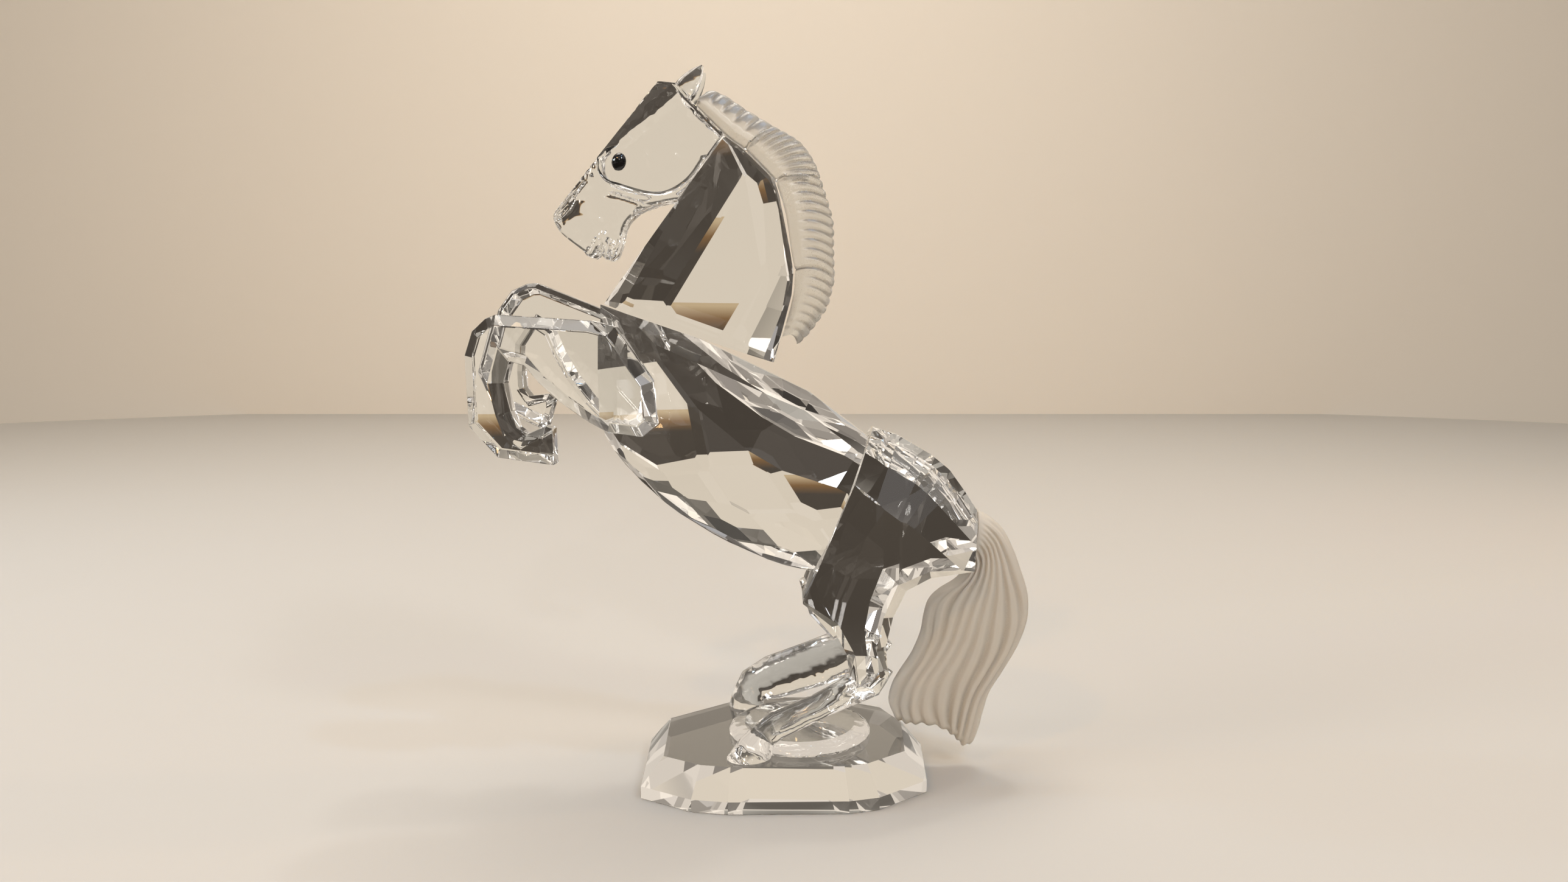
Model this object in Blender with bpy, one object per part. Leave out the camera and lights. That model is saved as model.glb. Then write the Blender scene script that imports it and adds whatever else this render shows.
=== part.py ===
"""A crystal horse that rears on a faceted plinth, in metres, with +Z up.

X runs to the horse's tail, Y to its right side, and the origin is at the centre of the plinth's underside.
The horse is drawn on a grid. Its unit is a share of the figure's height, about a millimetre, and its heights
count from the table, so that the hooves stand at HOOF_LINE and the ears end at EAR_LINE.
"""

import math

import bmesh
import bpy
from mathutils import Matrix, Vector

# Sizes in metres.
FIGURE_HEIGHT = 0.1323
GLUE_GAP = 0.0003
PLINTH_LENGTH = 0.0545
PLINTH_DEPTH = 0.0470
PLINTH_HEIGHT = 0.0070
PLINTH_GIRDLE = 0.0022
PLINTH_CROWN = 0.0040
EYE_LENGTH = 0.0032
EYE_WIDTH = 0.0026
EYE_BULGE = 0.0011
CRYSTAL_IOR = 1.55

# The grid that the horse is drawn on.
HOOF_LINE = 7.3
EAR_LINE = 132.3
FOOT_LEVEL = PLINTH_HEIGHT + GLUE_GAP
UNIT = (FIGURE_HEIGHT - FOOT_LEVEL) / (EAR_LINE - HOOF_LINE)
GAP = GLUE_GAP / UNIT
MERGE = 0.02
SHARP_ANGLE = 50.0

# The glued faces, each as two points of its line seen from the side.
NECK_SEAT = ((-34.2, 89.1), (-2.0, 78.0))
NECK_FRONT = ((-33.3, 89.6), (-10.8, 119.9))
RUMP_SEAT = ((16.6, 66.2), (4.6, 37.0))
TAIL_SEAT = ((36.7, 50.2), (35.2, 40.0))
# A foreleg's glued face, seen from the side, how deep it is ground into the oval of the barrel, and its turn.
SHOULDER_SPOT = (-27.0, 74.0)
SHOULDER_SINK = 0.9
SHOULDER_TOE_IN = 22.0

# The crest of the neck, from the nape down to the withers.
NECK_BACK = ((-10.8, 119.9), (-7.2, 117.3), (-1.7, 111.8), (0.0, 106.2), (1.1, 99.2), (1.8, 95.7),
             (1.4, 90.8), (-0.6, 83.2), (-2.0, 78.0))


def clear_scene():
    for thing in list(bpy.data.objects):
        bpy.data.objects.remove(thing, do_unlink=True)


def material(name, colour, roughness, transmission):
    made = bpy.data.materials.new(name)
    made.use_nodes = True
    shader = made.node_tree.nodes["Principled BSDF"]
    shader.inputs["Base Color"].default_value = (*colour, 1.0)
    shader.inputs["Metallic"].default_value = 0.0
    shader.inputs["Roughness"].default_value = roughness
    shader.inputs["Transmission Weight"].default_value = transmission
    shader.inputs["IOR"].default_value = CRYSTAL_IOR
    made.diffuse_color = (*colour, 1.0)
    return made


def to_world(point):
    return Vector((point.x * UNIT, point.y * UNIT, FOOT_LEVEL + (point.z - HOOF_LINE) * UNIT))


def add_object(name, bm, finish, on_grid=True, helper=False, rounded=False):
    """Turns a bmesh into an object. A helper is a shape that only a Boolean uses."""
    bmesh.ops.remove_doubles(bm, verts=bm.verts, dist=MERGE if on_grid else MERGE * UNIT)
    bmesh.ops.recalc_face_normals(bm, faces=bm.faces)
    if on_grid:
        for vert in bm.verts:
            vert.co = to_world(vert.co)
    mesh = bpy.data.meshes.new(name)
    bm.to_mesh(mesh)
    bm.free()
    mesh.materials.append(finish)
    if rounded:
        mesh.shade_smooth()
        mesh.set_sharp_from_angle(angle=math.radians(SHARP_ANGLE))
    made = bpy.data.objects.new(name, mesh)
    bpy.context.scene.collection.objects.link(made)
    if helper:
        made.hide_render = True
        made.display_type = "WIRE"
    return made


def combine(target, other, operation):
    step = target.modifiers.new(f"{operation.lower()} {other.name}", "BOOLEAN")
    step.object = other
    step.operation = operation
    step.solver = "EXACT"


def block(low, high):
    """A plain box between two corners."""
    bm = bmesh.new()
    bmesh.ops.create_cube(bm, size=1.0)
    low, high = Vector(low), Vector(high)
    for vert in bm.verts:
        vert.co = Vector((low[i] + (vert.co[i] + 0.5) * (high[i] - low[i]) for i in range(3)))
    return bm


def grind(bm, point, normal):
    """Takes away what lies beyond a plane, as a grinding wheel does, and closes the cut with a flat facet."""
    whole = bm.verts[:] + bm.edges[:] + bm.faces[:]
    bmesh.ops.bisect_plane(bm, geom=whole, dist=1e-4, plane_co=point, plane_no=normal, clear_outer=True)
    rim = [edge for edge in bm.edges if edge.is_boundary]
    if rim:
        bmesh.ops.holes_fill(bm, edges=rim, sides=0)


def grind_through(bm, a, b, c, inside):
    """A facet through three points that keeps the side of a fourth."""
    a, b, c = Vector(a), Vector(b), Vector(c)
    normal = (b - a).cross(c - a).normalized()
    if normal.dot(Vector(inside) - a) > 0:
        normal.negate()
    grind(bm, a, normal)


def grind_line(bm, line, inside, retreat=0.0):
    """A facet square to the side view, through two (x, z) points, drawn back by a distance."""
    start, end = Vector((line[0][0], 0, line[0][1])), Vector((line[1][0], 0, line[1][1]))
    run = (end - start).normalized()
    normal = Vector((run.z, 0, -run.x))
    if normal.dot(Vector((inside[0], 0, inside[1])) - start) > 0:
        normal.negate()
    grind(bm, start - normal * retreat, normal)


def both_sides(points):
    """The same points, then mirrored to the horse's other side."""
    return points, [(x, -y, z) for x, y, z in points]


def inset_outline(outline, distance):
    """Moves each side of a closed outline inwards by a distance."""
    count = len(outline)
    area = sum(outline[i - 1][0] * outline[i][1] - outline[i][0] * outline[i - 1][1] for i in range(count))
    turn = 1.0 if area > 0 else -1.0
    moved = []
    for i in range(count):
        here = Vector(outline[i])
        before = (here - Vector(outline[i - 1])).normalized()
        after = (Vector(outline[(i + 1) % count]) - here).normalized()
        in_before = Vector((-before.y, before.x)) * turn
        in_after = Vector((-after.y, after.x)) * turn
        middle = in_before + in_after
        moved.append(here + middle * (distance / max(0.3, 1.0 + in_before.dot(in_after))))
    return moved


def layered(rings):
    """A closed solid from rings of equally many points: a flat face at each end and sides between them."""
    bm = bmesh.new()
    made = [[bm.verts.new(point) for point in ring] for ring in rings]
    count = len(made[0])
    for low, high in zip(made, made[1:]):
        for i in range(count):
            j = (i + 1) % count
            bm.faces.new((low[i], low[j], high[j], high[i]))
    bm.faces.new(made[0])
    bm.faces.new(made[-1])
    return bm


def plate(outline, layers):
    """A plate drawn side on, in layers of (depth, inset): the insets make its bevelled edges."""
    return layered([[(x, depth, z) for x, z in inset_outline(outline, inset)] for depth, inset in layers])


def offset_path(points, distance):
    """An open polyline moved to its left by a distance."""
    points = [Vector(point) for point in points]
    moved = []
    for i, here in enumerate(points):
        before = (here - points[i - 1]).normalized() if i else (points[1] - here).normalized()
        after = (points[i + 1] - here).normalized() if i < len(points) - 1 else before
        left = Vector((-before.y - after.y, before.x + after.x))
        moved.append(here + left * (distance / (1.0 + before.dot(after))))
    return moved


def along(points, share):
    """The point at a share of a polyline's length."""
    points = [Vector(point) for point in points]
    lengths = [(b - a).length for a, b in zip(points, points[1:])]
    left = share * sum(lengths)
    for a, b, length in zip(points, points[1:], lengths):
        if left <= length:
            return a.lerp(b, left / length)
        left -= length
    return points[-1]


def between(values, share):
    """The value at a share of the way through evenly spaced values."""
    place = share * (len(values) - 1)
    low = min(int(place), len(values) - 2)
    return values[low] + (values[low + 1] - values[low]) * (place - low)


def tube(stations, sides):
    """A rod through (centre, half width, half height) stations, with polygon sections square to its run."""
    rings = []
    for i, (centre, half_width, half_height) in enumerate(stations):
        centre = Vector(centre)
        before = Vector(stations[max(i - 1, 0)][0])
        after = Vector(stations[min(i + 1, len(stations) - 1)][0])
        run = (after - before).normalized()
        across = run.cross(Vector((0, 0, 1))).normalized()
        up = across.cross(run).normalized()
        ring = []
        for k in range(sides):
            turn = math.tau * (k + 0.5) / sides
            ring.append(centre + across * half_width * math.cos(turn) + up * half_height * math.sin(turn))
        rings.append(ring)
    return layered(rings)


def grind_crest(bm, line, rows):
    """Small facets along both sides of a ridge, in rows of (how many, tilt, half width, depth, bow)."""
    for count, tilt, half_width, depth, bow in rows:
        lean = math.radians(tilt)
        for k in range(count):
            low, spot, high = [along(line, (k + lead) / count) for lead in (0.0, 0.5, 1.0)]
            run = (high - low).normalized()
            out = Vector((-run.y, 0, run.x)) + Vector((run.x, 0, run.y)) * bow * ((k + 0.5) / count - 0.5)
            out.normalize()
            for side in (-1, 1):
                point = Vector((spot.x, side * half_width, spot.y)) - out * depth
                grind(bm, point, out * math.cos(lean) + Vector((0, side * math.sin(lean), 0)))


# Plinth

# Its corners seen from above, as shares of half its length and half its depth.
PLINTH_CORNERS = ((-0.36, -1.0), (0.42, -0.98), (0.62, -0.91), (0.96, -0.58), (1.0, 0.20), (0.84, 0.66),
                  (0.36, 0.98), (-0.32, 1.0), (-0.98, 0.34), (-0.95, -0.70), (-0.60, -0.95))


def plinth(crystal):
    outline = [(x * PLINTH_LENGTH / 2, y * PLINTH_DEPTH / 2) for x, y in PLINTH_CORNERS]
    heights = ((0.0, 0.0), (PLINTH_GIRDLE, 0.0), (PLINTH_HEIGHT, PLINTH_CROWN))
    rings = [[(x, y, height) for x, y in inset_outline(outline, inset)] for height, inset in heights]
    add_object("plinth", layered(rings), crystal, on_grid=False)


# Barrel

BARREL_CENTRE = Vector((-3.9, 0.0, 59.7))
BARREL_SLOPE = -28.0
BARREL_HALF_LENGTH = 35.0
BARREL_CHEST_REACH = 60.0
BARREL_HALF_WIDTH = 13.5
BARREL_BELLY = 16.5
BARREL_BACK = 26.0
BARREL_STATIONS = (-52, -35, -18, 0, 18, 35, 52)
BARREL_ROWS = 12
BARREL_BLOCK = ((-45, -20, 25), (35, 20, 100))
BARREL_FRONT = ((-34.2, 89.1), (-33.7, 64.0))
BACK_LINE = ((-2.0, 78.0), (4.8, 72.8), (13.5, 68.6), (16.6, 66.2))
BACK_ROWS = ((5, 34.0, 3.0, 0.6, 0.2), (4, 58.0, 6.4, 2.4, 0.3))


def barrel_axes():
    """The barrel's own directions, rearwards and up."""
    slope = math.radians(BARREL_SLOPE)
    return Vector((math.cos(slope), 0, math.sin(slope))), Vector((-math.sin(slope), 0, math.cos(slope)))


def shoulder_depth():
    """How far from the middle plane the glued face of a foreleg lies at its spot."""
    ahead, up = barrel_axes()
    away = Vector((SHOULDER_SPOT[0], 0, SHOULDER_SPOT[1])) - BARREL_CENTRE
    lead, rise = away.dot(ahead) / BARREL_HALF_LENGTH, away.dot(up) / BARREL_BACK
    return BARREL_HALF_WIDTH * math.sqrt(1 - lead * lead - rise * rise) - SHOULDER_SINK


def shoulder_plane(side, retreat):
    """The flat face where a foreleg is glued to the barrel, as a point and a normal."""
    toe_in = math.radians(SHOULDER_TOE_IN)
    normal = Vector((-math.sin(toe_in), side * math.cos(toe_in), 0))
    return Vector((SHOULDER_SPOT[0], side * shoulder_depth(), 0)) + normal * retreat, normal


def barrel(crystal):
    """A long oval, ground all over with staggered rows of facets and cut flat where it is glued."""
    ahead, up = barrel_axes()
    middle = (BARREL_CENTRE.x, BARREL_CENTRE.z)
    bm = block(*BARREL_BLOCK)
    for row, latitude in enumerate(BARREL_STATIONS):
        for k in range(BARREL_ROWS):
            turn = math.tau * (k + 0.5 * (row % 2)) / BARREL_ROWS
            lead = math.sin(math.radians(latitude))
            side = math.cos(math.radians(latitude)) * math.cos(turn)
            rise = math.cos(math.radians(latitude)) * math.sin(turn)
            height = BARREL_BACK if rise > 0 else BARREL_BELLY
            length = BARREL_CHEST_REACH if rise > 0.1 and lead < 0 else BARREL_HALF_LENGTH
            point = (BARREL_CENTRE + ahead * length * lead + up * height * rise
                     + Vector((0, BARREL_HALF_WIDTH * side, 0)))
            normal = (ahead * lead / length + up * rise / height
                      + Vector((0, side / BARREL_HALF_WIDTH, 0))).normalized()
            grind(bm, point, normal)
    grind_line(bm, BARREL_FRONT, middle)
    grind_line(bm, NECK_SEAT, middle)
    for line in zip(BACK_LINE, BACK_LINE[1:]):
        grind_line(bm, line, middle)
    grind_crest(bm, BACK_LINE, BACK_ROWS)
    grind_line(bm, RUMP_SEAT, middle, retreat=GAP / 2)
    for side in (-1, 1):
        grind(bm, *shoulder_plane(side, 0.0))
    add_object("barrel", bm, crystal)


# Hindquarters

# The outline runs past the back and the glued faces, which are ground to their own lines.
HAUNCH_OUTLINE = ((10.0, 75.0), (42.0, 75.0), (42.0, 41.0), (27.1, 38.8), (22.6, 36.4), (20.2, 31.4),
                  (18.9, 26.0), (19.4, 20.0), (16.5, 17.2), (12.6, 17.8), (11.6, 24.5), (8.9, 29.6),
                  (4.5, 33.1), (-1.5, 38.0))
HAUNCH_MIDDLE = (18.0, 0.0, 45.0)
HAUNCH_LAYERS = ((-14.0, 3.3), (-8.8, 0.0), (8.8, 0.0), (14.0, 3.3))
# The long facets of a thigh, each through three points, and the oval that the rump's small facets touch.
THIGH_FACETS = (((-1.0, -9.0, 24.0), (12.4, -11.6, 55.6), (8.9, -11.7, 29.6)),
                ((14.0, -12.7, 55.0), (17.5, -13.5, 54.5), (12.0, -11.4, 21.0)),
                ((17.5, -13.5, 54.5), (20.8, -13.7, 50.0), (18.5, -11.7, 21.0)),
                ((20.8, -13.7, 50.0), (33.0, -10.6, 46.5), (21.8, -12.7, 37.0)))
RUMP_CENTRE = Vector((13.0, 0.0, 48.0))
RUMP_REACH = Vector((23.4, 13.9, 18.2))
RUMP_ROWS = ((24, (-12, 16, 38, 58)), (44, (4, 28, 50, 70)), (64, (14, 42, 66)))
RUMP_LINE = ((16.6, 66.2), (21.5, 64.6), (27.7, 61.0), (31.4, 58.0), (34.4, 53.8), (36.7, 50.2))
RUMP_LINE_ROWS = ((6, 26.0, 1.9, 0.35, 0.0), (5, 50.0, 4.6, 1.9, 0.0))
CLEFT = ((-20.0, 23.0), (50.0, 23.0), (50.0, -12.0), (-20.0, -12.0))
CLEFT_LAYERS = ((-3.6, 8.0), (0.0, 0.0), (3.6, 8.0))
# The lower legs as (centre, half width, half height) stations.
LEFT_SHANK = (((17.6, -7.2, 22.0), 2.9, 3.2), ((16.0, -7.6, 18.8), 2.8, 3.0), ((6.6, -10.4, 15.2), 2.3, 2.4),
              ((-1.4, -13.0, 12.4), 2.6, 2.7), ((-3.6, -14.0, 11.0), 2.5, 2.5),
              ((-5.0, -14.6, 9.0), 3.4, 3.2), ((-7.6, -16.2, 4.4), 4.2, 4.0))
RIGHT_SHANK = (((17.6, 7.2, 24.6), 3.0, 4.8), ((15.4, 7.6, 21.2), 3.0, 5.0), ((5.4, 9.6, 16.9), 3.0, 4.7),
               ((-2.4, 11.8, 13.6), 3.1, 4.5), ((-6.2, 12.8, 11.8), 3.0, 3.6),
               ((-7.4, 13.4, 9.0), 3.3, 3.4), ((-8.4, 14.2, 3.8), 3.9, 3.7))
RIGHT_GASKIN = (((7.4, 7.6, 36.0), 3.2, 4.6), ((9.0, 7.8, 29.8), 3.2, 4.4), ((12.4, 7.8, 24.8), 2.9, 3.4))
PAD_CENTRE = (3.0, -1.6)
PAD_REACH = (13.6, 14.6)
PAD_LAYERS = ((0.0, 0.97), (0.5, 1.0), (1.1, 0.98), (1.6, 0.91), (1.9, 0.78))
PAD_SIDES = 28
SHANK_SIDES = 16


def shank(name, stations, crystal):
    """A smooth moulded stretch of a hind leg, cut flat where it stands."""
    bm = tube(stations, SHANK_SIDES)
    grind(bm, Vector((0, 0, HOOF_LINE)), Vector((0, 0, -1)))
    return add_object(name, bm, crystal, helper=True)


def foot_pad(crystal):
    rings = []
    for rise, share in PAD_LAYERS:
        turns = [math.tau * k / PAD_SIDES for k in range(PAD_SIDES)]
        rings.append([(PAD_CENTRE[0] + PAD_REACH[0] * share * math.cos(turn),
                       PAD_CENTRE[1] + PAD_REACH[1] * share * math.sin(turn), HOOF_LINE + rise)
                      for turn in turns])
    return add_object("foot_pad_shape", layered(rings), crystal, helper=True)


def hindquarters(crystal):
    """The rump and thighs in one block, parted by a cleft, with the lower legs and their pad joined on."""
    bm = plate(HAUNCH_OUTLINE, HAUNCH_LAYERS)
    middle = (HAUNCH_MIDDLE[0], HAUNCH_MIDDLE[2])
    grind_line(bm, RUMP_SEAT, middle, retreat=GAP / 2)
    for line in [TAIL_SEAT, *zip(RUMP_LINE, RUMP_LINE[1:])]:
        grind_line(bm, line, middle)
    for facet in THIGH_FACETS:
        for a, b, c in both_sides(facet):
            grind_through(bm, a, b, c, HAUNCH_MIDDLE)
    for elevation, azimuths in RUMP_ROWS:
        for azimuth in azimuths:
            for side in (-1, 1):
                pitch, turn = math.radians(elevation), math.radians(azimuth)
                way = Vector((math.sin(turn), side * math.cos(turn), 0)) * math.cos(pitch)
                way.z = math.sin(pitch)
                point = RUMP_CENTRE + way * RUMP_REACH
                grind(bm, point, Vector((way[i] / RUMP_REACH[i] for i in range(3))).normalized())
    grind_crest(bm, RUMP_LINE, RUMP_LINE_ROWS)
    haunch = add_object("hindquarters", bm, crystal)
    cleft = add_object("cleft_shape", plate(CLEFT, CLEFT_LAYERS), crystal, helper=True)
    combine(haunch, cleft, "DIFFERENCE")
    combine(haunch, shank("left_shank_shape", LEFT_SHANK, crystal), "UNION")
    combine(haunch, shank("right_gaskin_shape", RIGHT_GASKIN, crystal), "UNION")
    combine(haunch, shank("right_shank_shape", RIGHT_SHANK, crystal), "UNION")
    combine(haunch, foot_pad(crystal), "UNION")


# Forelegs

FORELEG_OUTLINE = ((-51.3, 87.1), (-34.3, 86.0), (-30.1, 84.9), (-23.4, 75.2), (-22.7, 67.5), (-25.4, 65.2),
                   (-31.6, 66.0), (-35.1, 67.9), (-40.0, 71.4), (-43.8, 74.9), (-46.4, 78.0), (-49.1, 78.8),
                   (-50.2, 74.9), (-49.0, 69.9), (-47.9, 66.8), (-46.4, 65.6), (-42.8, 67.2), (-41.6, 66.7),
                   (-41.4, 60.1), (-51.5, 61.5), (-56.6, 67.2), (-57.0, 79.8), (-55.6, 84.1), (-53.1, 86.4))
# How much nearer to the middle plane a foreleg's inner face lies than the spot of its glued face.
FORELEG_HEEL = 1.0
FORELEG_LAYERS = ((0.0, 1.0), (1.0, 0.0), (5.2, 0.0), (7.8, 2.0))
# The right foreleg is lifted about the shoulder, in degrees, and sits further ahead.
SHOULDER_PIVOT = (-29.0, 76.0)
RIGHT_LIFT = 18.0
RIGHT_LEAD = 1.2


def foreleg(name, side, lift, lead, crystal):
    """A bent foreleg cut from a plate, with bevelled edges, glued flat to the shoulder."""
    inner = shoulder_depth() - FORELEG_HEEL
    bm = plate(FORELEG_OUTLINE, [(side * (inner + depth), inset) for depth, inset in FORELEG_LAYERS])
    pivot = Vector((SHOULDER_PIVOT[0], 0, SHOULDER_PIVOT[1]))
    bmesh.ops.rotate(bm, verts=bm.verts, cent=pivot, matrix=Matrix.Rotation(math.radians(lift), 3, "Y"))
    bmesh.ops.translate(bm, verts=bm.verts, vec=(-lead, 0, 0))
    point, normal = shoulder_plane(side, GAP)
    grind(bm, point, -normal)
    add_object(name, bm, crystal)


# Neck

NECK_RIM = 2.6
NECK_BLOCK = ((-45, -9.8, 70), (15, 9.8, 125))
NECK_MIDDLE = (-12.0, 0.0, 92.0)
# The rim's upper corners as (distance down the seat, half width), and how far it narrows to the seat.
RIM_CORNERS = ((0.0, 3.9), (6.5, 6.3), (13.8, 8.2), (24.0, 8.7), (32.0, 6.7), (35.0, 5.0))
RIM_UNDERCUT = 0.5
# Where the large facets of the left side meet.
THROAT_FOOT = (-28.8, -5.5, 90.2)
THROAT_EDGE = (-25.0, -2.4, 100.8)
THROAT_TOP = (-15.5, -3.8, 112.6)
BLADE_FOOT = (-21.6, -8.0, 88.1)
BLADE_HEEL = (-10.9, -8.5, 84.5)
BLADE_TOP = (-7.0, -5.6, 111.8)
BLADE_BACK = (-6.7, -7.9, 93.4)
WITHERS_FOOT = (-2.6, -6.0, 80.6)
WITHERS_TOP = (-3.6, -7.2, 96.5)
NECK_FACETS = ((THROAT_FOOT, THROAT_TOP, THROAT_EDGE),
               (THROAT_FOOT, BLADE_FOOT, BLADE_TOP),
               (BLADE_FOOT, BLADE_HEEL, BLADE_TOP),
               (BLADE_BACK, BLADE_TOP, WITHERS_TOP),
               (BLADE_HEEL, BLADE_BACK, WITHERS_FOOT))
CREST_ROWS = ((9, 22.0, 1.7, 0.25, 0.1), (8, 46.0, 4.0, 1.5, 0.3))


def neck(crystal):
    """A cut block, narrow at the nape, that stands on a flat rim. Small facets follow its crest."""
    bm = block(*NECK_BLOCK)
    inside = (NECK_MIDDLE[0], NECK_MIDDLE[2])
    grind_line(bm, NECK_SEAT, inside, retreat=GAP)
    grind_line(bm, NECK_FRONT, inside)
    start, end = Vector((NECK_SEAT[0][0], 0, NECK_SEAT[0][1])), Vector((NECK_SEAT[1][0], 0, NECK_SEAT[1][1]))
    down = (end - start).normalized()
    up = Vector((-down.z, 0, down.x))
    for side in (-1, 1):
        corners = [start + down * run + Vector((0, side * half, 0)) for run, half in RIM_CORNERS]
        for a, b in zip(corners, corners[1:]):
            grind_through(bm, a + up * NECK_RIM, b + up * NECK_RIM, a - Vector((0, side * RIM_UNDERCUT, 0)),
                          NECK_MIDDLE)
    for facet in NECK_FACETS:
        for a, b, c in both_sides(facet):
            grind_through(bm, a, b, c, NECK_MIDDLE)
    for line in zip(NECK_BACK, NECK_BACK[1:]):
        grind_line(bm, line, inside)
    grind_crest(bm, NECK_BACK, CREST_ROWS)
    add_object("neck", bm, crystal)


# Head

HEAD_OUTLINE = ((-23.0, 129.3), (-42.1, 106.0), (-42.1, 104.4), (-40.6, 101.9), (-37.8, 99.6), (-36.7, 98.2),
                (-35.6, 98.1), (-34.6, 99.1), (-33.6, 97.6), (-31.7, 97.6), (-30.3, 99.6), (-29.4, 103.2),
                (-28.2, 105.0), (-25.8, 107.0), (-22.5, 108.5), (-19.4, 108.3), (-16.5, 108.3), (-9.2, 118.3),
                (-17.6, 126.6), (-19.6, 129.0))
CHEEK_OUTLINE = ((-23.1, 128.3), (-34.4, 114.6), (-33.6, 111.2), (-29.6, 110.2), (-26.6, 109.3),
                 (-22.9, 108.9), (-19.6, 109.5), (-16.4, 111.4), (-9.7, 118.0), (-17.8, 125.9),
                 (-20.0, 128.1))
HEAD_LAYERS = ((-3.8, 0.7), (-2.6, 0.0), (2.6, 0.0), (3.8, 0.7))
CHEEK_LAYERS = ((-5.6, 0.6), (-4.8, 0.0), (4.8, 0.0), (5.6, 0.6))
# The flat that narrows the forehead on each side, from above the eye up to between the ears.
FOREHEAD_FACET = ((-34.0, 5.4, 115.2), (-21.5, 5.4, 125.0), (-23.0, 3.4, 129.3))
FOREHEAD_BLOCK = ((-45, -9, 100), (0, 9, 135))
FOREHEAD_OUTSIDE = (-34.0, 9.0, 125.0)
# What the neck takes away from the head is ground from this block, along the glued face.
NECK_SIDE_BLOCK = ((-45, -8, 80), (0, 8, 125))
NECK_SIDE_MIDDLE = (0.0, 100.0)
# The far eye sits a little higher and further forward, as glued by hand.
LEFT_EYE_SPOT = (-29.8, 114.6)
RIGHT_EYE_SPOT = (-30.8, 115.7)
EYE_LEAN = 12.0
EYE_STEPS = 4
EYE_SIDES = 20
MUZZLE_SPOT = (-37.3, 0.0, 104.2)
MUZZLE_REACH = (4.3, 4.7, 4.3)
EAR_ROOT = (-20.0, 2.5, 125.0)
EAR_TIP = (-14.8, 3.0, 132.2)
EAR_SIDES = 8
EAR_STATIONS = ((0.0, 1.2, 1.4), (0.2, 1.8, 2.1), (0.5, 1.5, 2.0), (0.78, 0.9, 1.2), (1.0, 0.2, 0.2))


def ear(side, crystal):
    """A leaf-shaped ear, thickest near its root."""
    root, tip = Vector(EAR_ROOT), Vector(EAR_TIP)
    root.y *= side
    tip.y *= side
    bm = tube([(root.lerp(tip, share), wide, deep) for share, wide, deep in EAR_STATIONS], EAR_SIDES)
    return add_object(f"ear_shape_{'left' if side < 0 else 'right'}", bm, crystal, helper=True)


def head(crystal):
    """A narrow face with thicker cheeks, a moulded muzzle and two ears, glued to the front of the neck."""
    made = add_object("head", plate(HEAD_OUTLINE, HEAD_LAYERS), crystal)
    cheeks = add_object("cheek_shape", plate(CHEEK_OUTLINE, CHEEK_LAYERS), crystal, helper=True)
    combine(made, cheeks, "UNION")
    for side in (-1, 1):
        shaving = block(*FOREHEAD_BLOCK)
        facet = [(x, side * y, z) for x, y, z in (*FOREHEAD_FACET, FOREHEAD_OUTSIDE)]
        grind_through(shaving, *facet)
        name = f"forehead_shaving_{'left' if side < 0 else 'right'}"
        combine(made, add_object(name, shaving, crystal, helper=True), "DIFFERENCE")
    bm = bmesh.new()
    bmesh.ops.create_icosphere(bm, subdivisions=2, radius=1.0)
    for vert in bm.verts:
        vert.co = Vector(MUZZLE_SPOT) + vert.co * Vector(MUZZLE_REACH)
    combine(made, add_object("muzzle_shape", bm, crystal, helper=True), "UNION")
    for side in (-1, 1):
        combine(made, ear(side, crystal), "UNION")
    beyond = block(*NECK_SIDE_BLOCK)
    grind_line(beyond, NECK_FRONT, NECK_SIDE_MIDDLE, retreat=-GAP)
    combine(made, add_object("neck_side_shape", beyond, crystal, helper=True), "DIFFERENCE")


def eyes(black):
    """Two oval cabochons on the flat of the cheeks."""
    cheek = CHEEK_LAYERS[-1][0] + GAP
    for name, side, spot in (("left_eye", -1, LEFT_EYE_SPOT), ("right_eye", 1, RIGHT_EYE_SPOT)):
        rings = []
        for step in range(EYE_STEPS):
            rise = math.pi / 2 * step / EYE_STEPS
            ring = []
            for k in range(EYE_SIDES):
                turn = math.tau * k / EYE_SIDES
                across = EYE_WIDTH / 2 / UNIT * math.cos(rise) * math.cos(turn)
                tall = EYE_LENGTH / 2 / UNIT * math.cos(rise) * math.sin(turn)
                lean = math.radians(EYE_LEAN)
                ring.append((spot[0] + across * math.cos(lean) + tall * math.sin(lean),
                             side * (cheek + EYE_BULGE / UNIT * math.sin(rise)),
                             spot[1] - across * math.sin(lean) + tall * math.cos(lean)))
            rings.append(ring)
        add_object(name, layered(rings), black, rounded=True)


# Mane

MANE_TUFTS = (
    (((-16.2, 125.2), (-10.8, 119.9), (-7.2, 117.3)),
     ((-14.3, 128.2), (-12.6, 128.2), (-10.1, 127.0), (-7.4, 125.2), (-4.4, 123.4), (-2.0, 122.0)), 7),
    (((-7.2, 117.3), (-1.7, 111.8)),
     ((-2.0, 122.0), (2.0, 119.8), (4.1, 117.9), (5.8, 115.2), (6.9, 112.4)), 6),
    (((-1.7, 111.8), (0.0, 106.2), (1.1, 99.2), (1.8, 95.7)),
     ((6.9, 112.4), (8.5, 107.5), (9.3, 104.0), (9.4, 99.0), (9.6, 94.0)), 9),
    (((1.8, 95.7), (1.4, 90.8), (-0.6, 83.2)),
     ((9.6, 94.0), (8.9, 91.0), (8.2, 88.6), (6.5, 86.0), (4.5, 83.4), (2.6, 81.6)), 7))
MANE_SECTION = ((0.0, 2.0), (0.25, 2.5), (0.55, 2.3), (0.82, 1.5), (1.0, 0.5))
# Between two strands the sides are grooved, less deeply at the root, and the outer edge is notched.
MANE_GROOVE = 0.32
MANE_ROOT_GROOVE = 0.1
MANE_NOTCH = 0.5


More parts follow.
